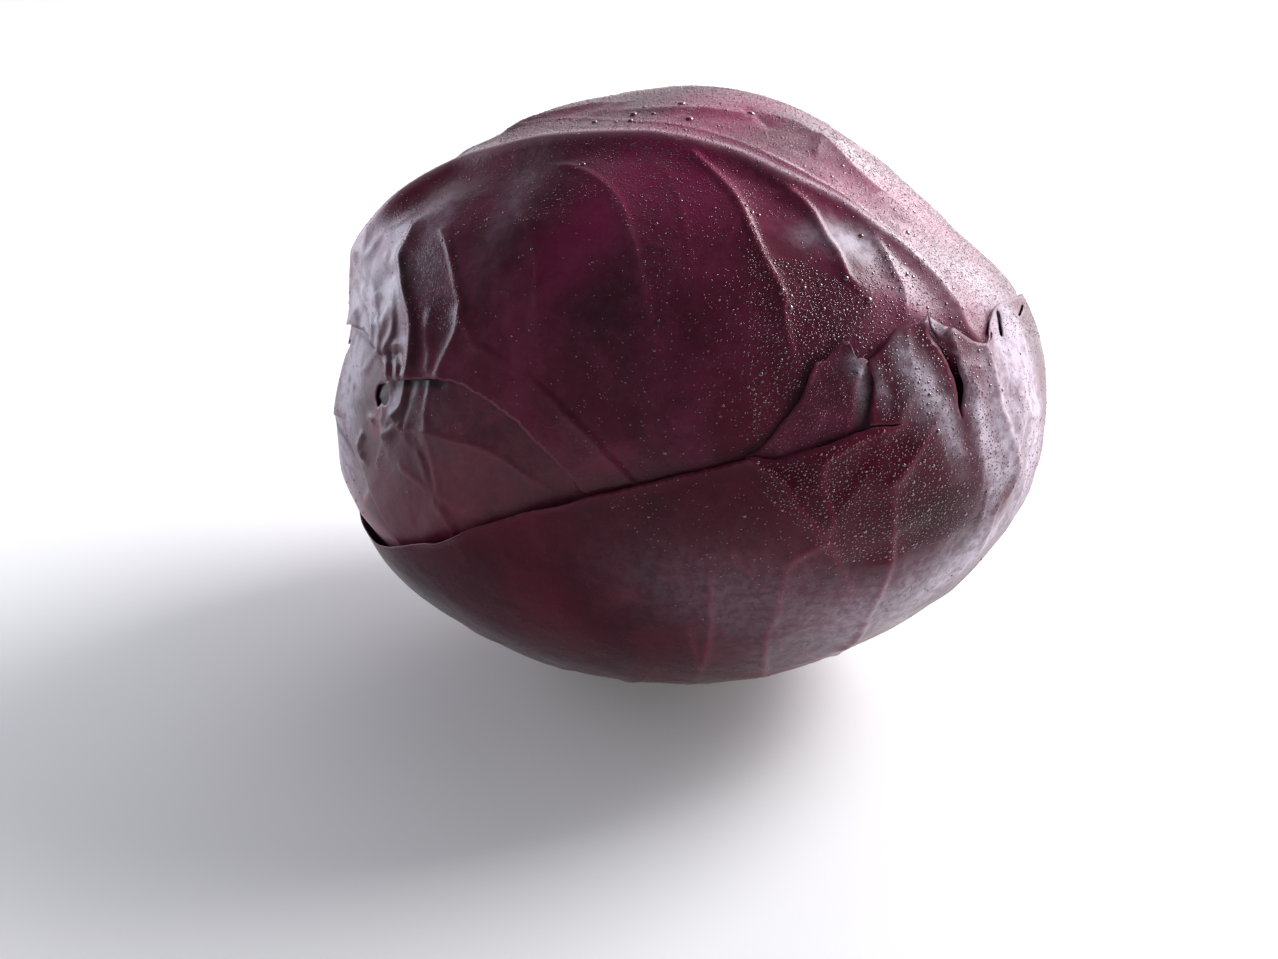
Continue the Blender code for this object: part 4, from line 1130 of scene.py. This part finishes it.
# painted highlight on the lit lip of the tear, and painted shadow beside it
front.patch("wax", (936, 322), 2.0, 1.3, (0.7, 1.7, 35), inset=-1.8)
front.stain("dark", [(925.6, 311), (926.5, 320), (927.5, 329), (933, 338)], 0.5, 0.95, inset=-1.2)
front.patch("broad", (992, 318), 5.0, -0.6, inset=-0.8)
# painted highlights on the flap and along the right flap's raised edge
front.patch("wax", (881, 384), 1.8, 0.45, (0.8, 2.4, 0), inset=-1.0)
front.stain("wax", [(952, 346), (957, 358), (962, 374), (964, 392)], 0.7, 0.5, inset=-1.5)
generic_veins(front, 176, reach=(14, 150), high=0.8, wide=(4.0, 1.0), side=46, seed=12, start=34, rise=0.6, rib=0.5)
generic_veins(front, 176, reach=(30, 120), high=0.01, wide=(1.0, 0.6), side=78, seed=14, start=40, rise=0.6, rib=0.0, sides=(-1,))
margin_lift(front, 0.45, 2.6, 6)
# painted glare down the right limb and painted reflections of the pale floor low on the front
front.patch("wax", (1008, 395), 14.0, 0.45, (0.7, 2.2, 0), inset=-1.0)
front.patch("wax", (925, 590), 16.0, 0.45, (2.0, 0.7, 35), inset=-0.5)
front.patch("wax", (1004, 455), 7.0, 0.70, (0.6, 2.4, 0), inset=-1.0)
front.patch("wax", (972, 557), 9.0, 0.62, (1.8, 0.7, 40), inset=-1.0)
front.patch("wax", (1034, 400), 9.0, 0.9, (0.8, 3.4, 0), inset=-0.5)
front.patch("wax", (1006, 325), 8.0, 0.7, (1.0, 1.2, 0), inset=-0.8)
front.patch("wax", (760, 600), 20.0, 0.16, (1.6, 0.7, 0), inset=0.0)
front.patch("wax", (715, 674), 5.0, -0.08, (2.5, 0.6, 0), inset=0.0)
front.patch("wax", (862, 604), 9.0, 0.17, (1.8, 0.8, 35), inset=-0.5)
front.patch("thin", (930, 480), 12.0, 0.12, inset=0.0)
# painted highlights between the drops, beside the slit and down the right, with less of them in places
front.patch("wax", (921, 378), 4.8, 1.10, (0.60, 1.8, 15), inset=-0.8)
front.patch("wax", (896, 350), 4.0, 0.06, (0.7, 1.3, 20), inset=-0.8)
front.patch("wax", (912, 404), 4.0, 0.18, (0.8, 1.4, 0), inset=-0.8)
front.patch("wax", (951, 430), 3.6, 0.64, (0.6, 2.2, 10), inset=-0.8)
front.patch("wax", (981, 426), 3.4, 1.20, (0.6, 3.0, 10), inset=-0.8)
front.patch("wax", (1002, 503), 4.8, -0.85, (0.8, 1.2, 0), inset=-0.8)
front.patch("wax", (898, 548), 3.5, -0.20, (1.8, 0.7, 20), inset=-0.8)
# painted shade low on the right
front.patch("dark", (936, 510), 7.5, 0.80, (1.3, 1.0, 0), inset=-0.8)

# -- the left end -------------------------------------------------------------
swells(front_left, 0.35, 15.0, 4)
for line, h in ((((352, 338), (349, 358), (343, 382), (346, 410), (353, 436)), 0.5),
                (((366, 352), (362, 380), (364, 405), (372, 430)), 0.6),
                (((375, 439), (386, 435), (393, 429), (401, 430)), 1.2),
                (((361, 434), (357.5, 448), (362, 462)), 1.0),
                (((347, 425), (352, 440), (360, 452), (366, 470)), 0.7)):
    front_left.tent(line, h, 2.0, 1.3, soft=0.25, ends=(0.2, 0.1))
front_left.tent([(403, 385), (401.5, 396), (399, 408), (395.5, 414), (391, 419)], (1.2, 1.5), 0.6, 2.6, soft=0.2, ends=(0.0, 0.0), inset=1.0)
front_left.vein_line([(430, 384), (425, 420), (432, 470), (450, 530)], high=(0.2, 0.2), wide=(0.8, 0.7), colour=0.5, fold=0.4, fold_spread=4.0)
front_left.vein_line([(404, 430), (440, 440), (490, 455), (560, 500)], high=(0.25, 0.15), wide=(0.9, 0.6), colour=0.5, fold=0.6, fold_spread=5.0)
front_left.vein_line([(400, 470), (440, 500), (500, 530)], high=(0.25, 0.15), wide=(0.9, 0.6), colour=0.5, fold=0.6, fold_spread=5.0)
margin_lift(front_left, 0.8, 3.0, 8)
# painted lavender highlights and painted shade in the creases of the left end
front_left.patch("wax", (356, 366), 8.0, 1.2, (0.8, 1.6, 0))
front_left.stain("dark", [(352, 398), (364, 410), (378, 424), (396, 437)], 2.0, 0.50)
front_left.patch("wax", (350, 425), 6.0, 0.30, (0.8, 1.6, 0))
front_left.patch("wax", (352, 388), 5.0, 0.8, (0.8, 1.8, 0))
front_left.patch("wax", (412, 404), 4.0, 0.05)
front_left.patch("wax", (396, 400), 1.6, 0.9, (0.8, 2.0, 0))
front_left.patch("thin", (377, 424), 5.0, 0.8)
front_left.stain("dark", [(364, 350), (362, 372), (366, 398), (373, 422)], 1.0, 0.55)
# painted shade round the hole
front_left.stain("dark", [(383, 410), (392, 421), (403, 414), (408, 400), (407, 388)], 1.3, 0.7, inset=2.0)
front_left.stain("dark", [(365, 438), (376, 446), (390, 440), (404, 436)], 1.2, 0.55)
front_left.patch("wax", (377, 422), 4.5, -0.6)
# painted shadow along the crack under the top leaf's margin, and under its hooked edge
front_left.stain("dark", [(386, 386), (405, 385.5), (424, 384.5), (448, 386.5)], 1.1, 1.3, inset=2.0)
front_left.stain("dark", [(354, 332), (364, 341), (374, 355), (383, 370), (385, 384)], 0.8, 0.7, inset=2.0)
# small spots of painted shade
for x, y, r, a in ((352, 382, 1.0, 1.0), (355.5, 389.5, 1.1, 1.0), (351.6, 393.5, 0.8, 0.9), (349, 400, 0.6, 0.6), (352, 408, 0.5, 0.6),
                   (357, 412, 0.6, 0.6), (346, 410, 0.4, 0.6), (361, 405, 0.4, 0.6), (364, 392, 0.4, 0.6), (350, 417, 0.5, 0.6)):
    front_left.patch("dark", (x, y), r, a)
swells(lower_left, 0.4, 15.0, 5)
generic_veins(lower_left, 116, reach=(13, 80), high=1.6, wide=(6.0, 2.0), side=34, seed=15, start=22, rise=0.7, rib=0.8)
# painted lavender highlight
lower_left.patch("wax", (343, 452), 12.0, 0.9, (0.8, 1.6, 0))
# painted shade under the covering leaf's margin and behind its hole
lower_left.stain("dark", [(350, 333), (346, 356), (338.5, 377), (340, 392), (342, 405), (346, 421), (349.5, 440), (357, 463)], 0.9, 0.85,
                 inset=2.3)
lower_left.stain("dark", [(340, 345), (336, 365), (333, 385), (335, 405)], 2.0, 0.5, inset=2.3)
lower_left.patch("dark", (381, 397), 6.0, 1.6)
lower_left.patch("broad", (340, 400), 9.0, 2.2, (0.9, 1.4, 0))
lower_left.patch("broad", (346, 455), 9.0, 1.6, (0.9, 1.4, 0))
margin_lift(lower_left, 0.8, 3.0, 9)

# -- the back ------------------------------------------------------------------
swells(back_upper, 0.6, 26.0, 6)
generic_veins(back_upper, -70, reach=(13, 150), high=3.6, wide=(6.6, 0.9), side=52, seed=21, start=30, rise=0.8, rib=0.50, tint=0.55)
margin_lift(back_upper, 0.6, 3.0, 10)
swells(back_lower, 0.6, 26.0, 7)
generic_veins(back_lower, -118, reach=(13, 148), high=3.6, wide=(6.6, 0.9), side=48, seed=22, start=32, rise=0.8, rib=0.50, tint=0.55)
margin_lift(back_lower, 0.9, 3.0, 11)

LEAVES = [back_upper, back_lower, lower_left, front_left, top, torn, front]
COVERS = {back_upper: [back_lower, top, front], back_lower: [front], lower_left: [front_left, top, front],
          front_left: [top, front], top: [torn, front], torn: [front], front: []}
MATS = {back_upper: (M_BACK, "leaf_deep"), back_lower: (M_BACK, "leaf_maroon"), lower_left: (M_LEFT, "leaf_pale"),
        front_left: (M_LEFT, "leaf_bloom"), top: (M_TOP, "leaf_maroon"), torn: (M_TOP, "leaf_deep"),
        front: (M_FRONT_SHADED, "leaf_deep")}
made = {}
for leaf in LEAVES:
    made[leaf.name] = build(leaf, COVERS[leaf], *MATS[leaf])

# ------------------------------------------------------------------ the tight head
HEAD = lattice(3.2)
bm = bmesh.new()
for g_ in HEAD:
    bm.verts.new(Vector(g_))
bmesh.ops.convex_hull(bm, input=bm.verts)
hd = np.array([tuple(v.co) for v in bm.verts])
hf = np.array([[v.index for v in f.verts] for f in bm.faces])
bm.free()
hr = body(hd) - 4.6 + 0.5 * fractal(hd * 78, 22.0, 2, 9)
down = np.minimum(hd[:, 2], -1e-9)
hr = np.where(hd[:, 2] < 0, np.minimum(hr, (CENTRE[2] - 5.0) / -down), hr)
head = new_object("head", CENTRE + hd * hr[:, None], hf, M_BACK)
for f in ("vein", "rib", "wax", "thin", "dark", "edge", "inner", "mist"):
    attribute(head, f, np.zeros(len(hd)))
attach(head, "root")
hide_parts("head")

# ------------------------------------------------------------------ the cut stump
stem_mat, tree, b = principled("stump_flesh", (0.72, 0.62, 0.42), 0.55)
g = Graph(tree)
coord = g.node("ShaderNodeTexCoord")
g.where = coord.outputs["Object"]
radial = g.attr("rim")
fibre = g.noise(240, 5, 0.6)
blot = g.noise(60, 3, 0.5)
col = g.mix(g.remap(fibre, 0.35, 0.7), (0.60, 0.47, 0.27), (0.80, 0.72, 0.52))
col = g.mix(g.math("MULTIPLY", g.remap(blot, 0.45, 0.7), 0.5), col, (0.42, 0.27, 0.13))
col = g.mix(g.remap(radial, 0.62, 0.80, 0.0, 0.45), col, (0.30, 0.34, 0.14))
col = g.mix(g.remap(radial, 0.84, 0.98, 0.0, 0.95), col, (0.34, 0.13, 0.18))
g.link(col, b.inputs["Base Color"])
bump = g.node("ShaderNodeBump")
bump.inputs["Strength"].default_value = 0.5
bump.inputs["Distance"].default_value = 0.0006
g.link(fibre, bump.inputs["Height"])
g.link(bump.outputs["Normal"], b.inputs["Normal"])

verts, faces, rim = [], [], []
SIDES = 96
rows = [(-69.5, 0.96), (-74.0, 0.99), (-78.0, 1.0), (-81.0, 1.0), (-83.2, 1.0), (-84.1, 0.985), (-84.5, 0.95), (-84.35, 0.88),
        (-84.0, 0.78), (-83.9, 0.66), (-84.05, 0.52), (-84.2, 0.38), (-84.1, 0.24), (-83.9, 0.10)]
for i, (x, s) in enumerate(rows):
    for k in range(SIDES):
        a = 2 * math.pi * k / SIDES
        rr = STUMP_RADIUS * s * (1 + 0.035 * math.sin(5 * a + 0.6) + 0.02 * math.sin(9 * a + 2.0) + 0.012 * math.sin(23 * a))
        xx = x + (0.18 * math.sin(3 * a + s * 5) + 0.10 * math.sin(11 * a + s * 17)) * (1 if i > 4 else 0)
        verts.append((CENTRE[0] + xx, CENTRE[1] + rr * math.cos(a), CENTRE[2] + rr * math.sin(a)))
        rim.append(s if i > 4 else 1.0)
for i in range(len(rows) - 1):
    for k in range(SIDES):
        n = (k + 1) % SIDES
        faces += [(i * SIDES + k, (i + 1) * SIDES + k, (i + 1) * SIDES + n), (i * SIDES + k, (i + 1) * SIDES + n, i * SIDES + n)]
verts += [(CENTRE[0] - 69.5, CENTRE[1], CENTRE[2]), (CENTRE[0] - 83.9, CENTRE[1], CENTRE[2])]
rim += [1.0, 0.0]
c0, c1 = len(verts) - 2, len(verts) - 1
last = (len(rows) - 1) * SIDES
for k in range(SIDES):
    n = (k + 1) % SIDES
    faces += [(c0, k, n), (c1, last + n, last + k)]
verts, faces = np.array(verts), np.array(faces)
a, bb, c = (verts[faces[:, k]] for k in range(3))
mid = np.array((CENTRE[0] - 77, CENTRE[1], CENTRE[2]))
if np.einsum("ij,ij->i", a - mid, np.cross(bb - mid, c - mid)).sum() < 0:
    faces = faces[:, ::-1]
stump = new_object("stem_stump", verts, faces, stem_mat)
attribute(stump, "rim", rim)
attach(stump, "root")
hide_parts("stem_stump")

# ------------------------------------------------------------------ drops of water
drop_mat, tree, b = principled("water_drop", (0.085, 0.006, 0.020), 0.10)
b.inputs["IOR"].default_value = 1.75
b.inputs["Specular IOR Level"].default_value = 1.0
g = Graph(tree)
coord = g.node("ShaderNodeTexCoord")
g.where = coord.outputs["Object"]
g.link(g.mix(g.remap(g.noise(30, 2), 0.35, 0.65), (0.060, 0.004, 0.014), (0.190, 0.010, 0.036)), b.inputs["Base Color"])


rng = np.random.default_rng(5)
count = 240000
zz = rng.uniform(-1, 1, count)
aa = rng.uniform(0, 2 * math.pi, count)
ss = np.sqrt(1 - zz * zz)
cand = np.stack((ss * np.cos(aa), ss * np.sin(aa), zz), -1)
cand = cand[(cand[:, 2] > -0.75) & (cand[:, 0] > -0.97)]
px, py, facing = pixels(cand)
many, size = wanted(cand, px, py, facing)
mm2 = 4 * math.pi * 76.0 ** 2 / count
keep = rng.uniform(0, 1, len(cand)) < many * mm2 * 1.25
cand, size = cand[keep], size[keep]
size = size * np.clip(rng.lognormal(-0.05, 0.30, len(cand)), 0.5, 2.4)
# drops that stand out in the photograph: pixel, radius in mm
BIG = [((933, 429), 0.85), ((899, 461), 0.5), ((942, 451), 0.5), ((916, 460), 0.42), ((911, 479), 0.5), ((910, 491), 0.45),
       ((958, 418), 0.55), ((949, 426), 0.45), ((972, 390), 0.5), ((981, 390), 0.35), ((994, 387), 0.5), ((990, 449), 0.4),
       ((987, 428), 0.4), ((862, 391), 0.5), ((868, 298), 0.9), ((843, 277), 0.75), ((819, 283), 0.6), ((803, 286), 0.6),
       ((779, 291), 0.8), ((789, 307), 0.8), ((800, 279), 0.5), ((823, 307), 0.55), ((858, 235), 0.6), ((904, 232), 0.8),
       ((907, 206), 0.5), ((912, 210), 0.45), ((744, 205), 0.5), ((750, 211), 0.55), ((757, 213), 0.5), ((746, 225), 0.5),
       ((752, 226), 0.45), ((734, 198), 0.45), ((637, 160), 0.4), ((654, 223), 0.45), ((580, 165), 0.85), ((628, 137), 0.3),
       ((592, 125), 0.9), ((614, 125), 0.5), ((628, 124), 0.8), ((630, 115), 1.0), ((641, 108), 0.6), ((650, 114), 0.7),
       ((678, 103), 1.2), ((686, 119), 1.1), ((748, 112), 1.1), ((723, 111), 0.5), ((500, 212), 0.45), ((484, 218), 0.55),
       ((452, 256), 0.35), ((438, 241), 0.45), ((847, 156), 0.55), ((829, 176), 0.5), ((840, 164), 0.5), ((842, 171), 0.4)]
big = way(*[q for q, r in BIG], inset=0.5)
cand = np.concatenate((big, cand))
size = np.concatenate(([r for q, r in BIG], size))
# thin them out so that none overlap
grid, kept = {}, []
where = cand * 78.0
cell = 2.7
for i, (w, r) in enumerate(zip(where, size)):
    c = tuple((w // cell).astype(int))
    near = [j for dx in (-1, 0, 1) for dy in (-1, 0, 1) for dz in (-1, 0, 1) for j in grid.get((c[0] + dx, c[1] + dy, c[2] + dz), ())]
    if near:
        gap = np.linalg.norm(where[near] - w, axis=1) - (size[near] + r) * 1.04
        if gap.min() < 0:
            continue
    grid.setdefault(c, []).append(i)
    kept.append(i)
cand, size = cand[kept], size[kept]


def drops(name, leaf, d, r, sides, rings):
    """Caps of water on a leaf's outer face, each a closed shell."""
    uv = leaf.chart.flat(d)
    at = leaf.place(uv)
    n = leaf.normal(uv, True)
    n *= np.sign(np.einsum("ij,ij->i", n, at - CENTRE))[:, None]
    side = unit(np.cross(n, np.array((0.3, 0.2, 0.93))))
    other = np.cross(n, side)
    local = np.random.default_rng(len(d))
    squash = local.uniform(0.85, 1.18, len(d))
    high = local.uniform(0.42, 0.58, len(d))
    a = np.arange(sides) * 2 * math.pi / sides
    verts = [at - n * (0.30 * r)[:, None]]
    for f, z in rings:
        for t in a:
            verts.append(at + side * (r * f * squash * math.cos(t))[:, None] + other * (r * f / squash * math.sin(t))[:, None]
                         + n * (r * high * z)[:, None])
    verts.append(at + n * (r * high)[:, None])
    m = len(verts)
    verts = np.stack(verts, 1).reshape(-1, 3)
    f = []
    for k in range(sides):
        q = (k + 1) % sides
        f.append((0, 1 + q, 1 + k))
        for i in range(len(rings) - 1):
            u, v = 1 + i * sides, 1 + (i + 1) * sides
            f += [(u + k, u + q, v + q), (u + k, v + q, v + k)]
        u = 1 + (len(rings) - 1) * sides
        f.append((u + k, u + q, m - 1))
    f = np.array(f)
    # turned outwards
    p, q, s_ = (verts[:m][f[:, k]] for k in range(3))
    if np.einsum("ij,ij->i", p - at[0], np.cross(q - at[0], s_ - at[0])).sum() < 0:
        f = f[:, ::-1]
    faces = (f[None] + (np.arange(len(d)) * m)[:, None, None]).reshape(-1, 3)
    ob = new_object(name, verts, faces, drop_mat)
    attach(ob, "root")
    print(name, len(d), "drops", len(faces), "triangles")


owner = np.full(len(cand), -1)
for k, leaf in enumerate(LEAVES):
    owner[leaf.depth(leaf.chart.flat(cand)) > 0.9] = k
    if k:
        edge = np.abs(leaf.depth(leaf.chart.flat(cand))) <= 0.9
        owner[edge] = -1
small = size < 0.36
for k, leaf in enumerate(LEAVES):
    for label, mask, sides, rings in (("fine_drops", small, 6, ((1.0, -0.15), (0.74, 0.66))),
                                      ("large_drops", ~small, 12, ((1.0, -0.15), (0.90, 0.40), (0.55, 0.82)))):
        sel = np.flatnonzero((owner == k) & mask)
        for part, s0 in enumerate(range(0, len(sel), 8000)):
            chosen = sel[s0:s0 + 8000]
            if len(chosen) > 3:
                drops(f"{label}_{leaf.name[5:]}" + (f"_{part + 1}" if part else ""), leaf, cand[chosen], size[chosen], sides, rings)

# ------------------------------------------------------------------ stage, lights and camera
floor_mat, tree, b = principled("stage_floor", (0.86, 0.86, 0.865), 0.6)
b.inputs["Emission Color"].default_value = (1.0, 1.0, 1.0, 1)
b.inputs["Emission Strength"].default_value = 0.12
bm = bmesh.new()
bmesh.ops.create_grid(bm, x_segments=1, y_segments=1, size=3.0)
for v in bm.verts:
    v.co.z = -0.0004
mesh = bpy.data.meshes.new("stage_floor")
bm.to_mesh(mesh)
bm.free()
mesh.materials.append(floor_mat)
floor = bpy.data.objects.new("stage_floor", mesh)
bpy.context.scene.collection.objects.link(floor)

MID_M = CENTRE * 0.001


UPRIGHT = np.array((0.0, 0.0, 1.0))
BACK = unit(np.array((-TOWARDS[0], -TOWARDS[1], 0.0)))


def softbox(name, right, back, up, size, power, colour=(1, 1, 1), size_y=None, aim=(0, 0, 0)):
    """A soft light right, back and up metres from the head's middle, facing it."""
    at = MID_M + RIGHT * right + BACK * back + UPRIGHT * up
    to = MID_M + RIGHT * aim[0] + BACK * aim[1] + UPRIGHT * aim[2]
    data = bpy.data.lights.new(name, "AREA")
    data.shape = "RECTANGLE"
    data.size, data.size_y = size, size_y or size
    data.energy = power
    data.color = colour
    ob = bpy.data.objects.new(name, data)
    ob.location = at
    ob.rotation_euler = (Vector(to) - Vector(at)).to_track_quat("-Z", "Y").to_euler()
    ob.visible_camera = False
    bpy.context.scene.collection.objects.link(ob)


softbox("key", 0.80, 0.40, 0.62, 0.55, 15.0, (1.0, 0.985, 1.0), size_y=0.45)
softbox("panel_right", 0.66, 0.86, 0.20, 1.00, 4.6, (1.0, 0.98, 1.0), size_y=0.34)
softbox("panel_left", -0.50, 0.30, 0.06, 0.42, 1.5, (0.82, 0.84, 1.0), size_y=0.26)

world = bpy.data.worlds.new("studio")
bpy.context.scene.world = world
world.use_nodes = True
wt = world.node_tree
g = Graph(wt)
coord = g.node("ShaderNodeTexCoord")


def along(axis):
    n = g.node("ShaderNodeVectorMath", operation="DOT_PRODUCT")
    g.link(coord.outputs["Generated"], n.inputs[0])
    n.inputs[1].default_value = tuple(axis)
    return n.outputs["Value"]


# white all round behind the head, dimmer on the camera's side and overhead
behind = unit(BACK + 1.1 * RIGHT)
amount = g.math("MULTIPLY", g.remap(along(behind), 0.0, 0.9, 0.19, 1.7), g.remap(along(UPRIGHT), 0.25, 0.85, 1.0, 0.45))
wt.nodes["Background"].inputs["Color"].default_value = (0.92, 0.93, 1.0, 1)
g.link(amount, wt.nodes["Background"].inputs["Strength"])

cam_data = bpy.data.cameras.new("camera")
cam_data.lens, cam_data.sensor_width = LENS, SENSOR
cam_data.clip_start, cam_data.clip_end = 0.02, 50
cam = bpy.data.objects.new("camera", cam_data)
bpy.context.scene.collection.objects.link(cam)
eye = MID_M + TOWARDS * EYE * 0.001
# aimed so that the head's middle falls on its own pixel
off_x, off_y = MIDDLE_PX[0] - FRAME_W / 2, FRAME_H / 2 - MIDDLE_PX[1]
aim = MID_M - (RIGHT * off_x + UP * off_y) / PX_PER_MM * 0.001
look = unit(aim - eye)
right = unit(np.cross(look, (0, 0, 1)))
upv = np.cross(right, look)
cam.matrix_world = Matrix(((right[0], upv[0], -look[0], eye[0]), (right[1], upv[1], -look[1], eye[1]),
                           (right[2], upv[2], -look[2], eye[2]), (0, 0, 0, 1)))
bpy.context.scene.camera = cam
bpy.context.scene.view_settings.view_transform = "Standard"
bpy.context.scene.view_settings.exposure = 0.0
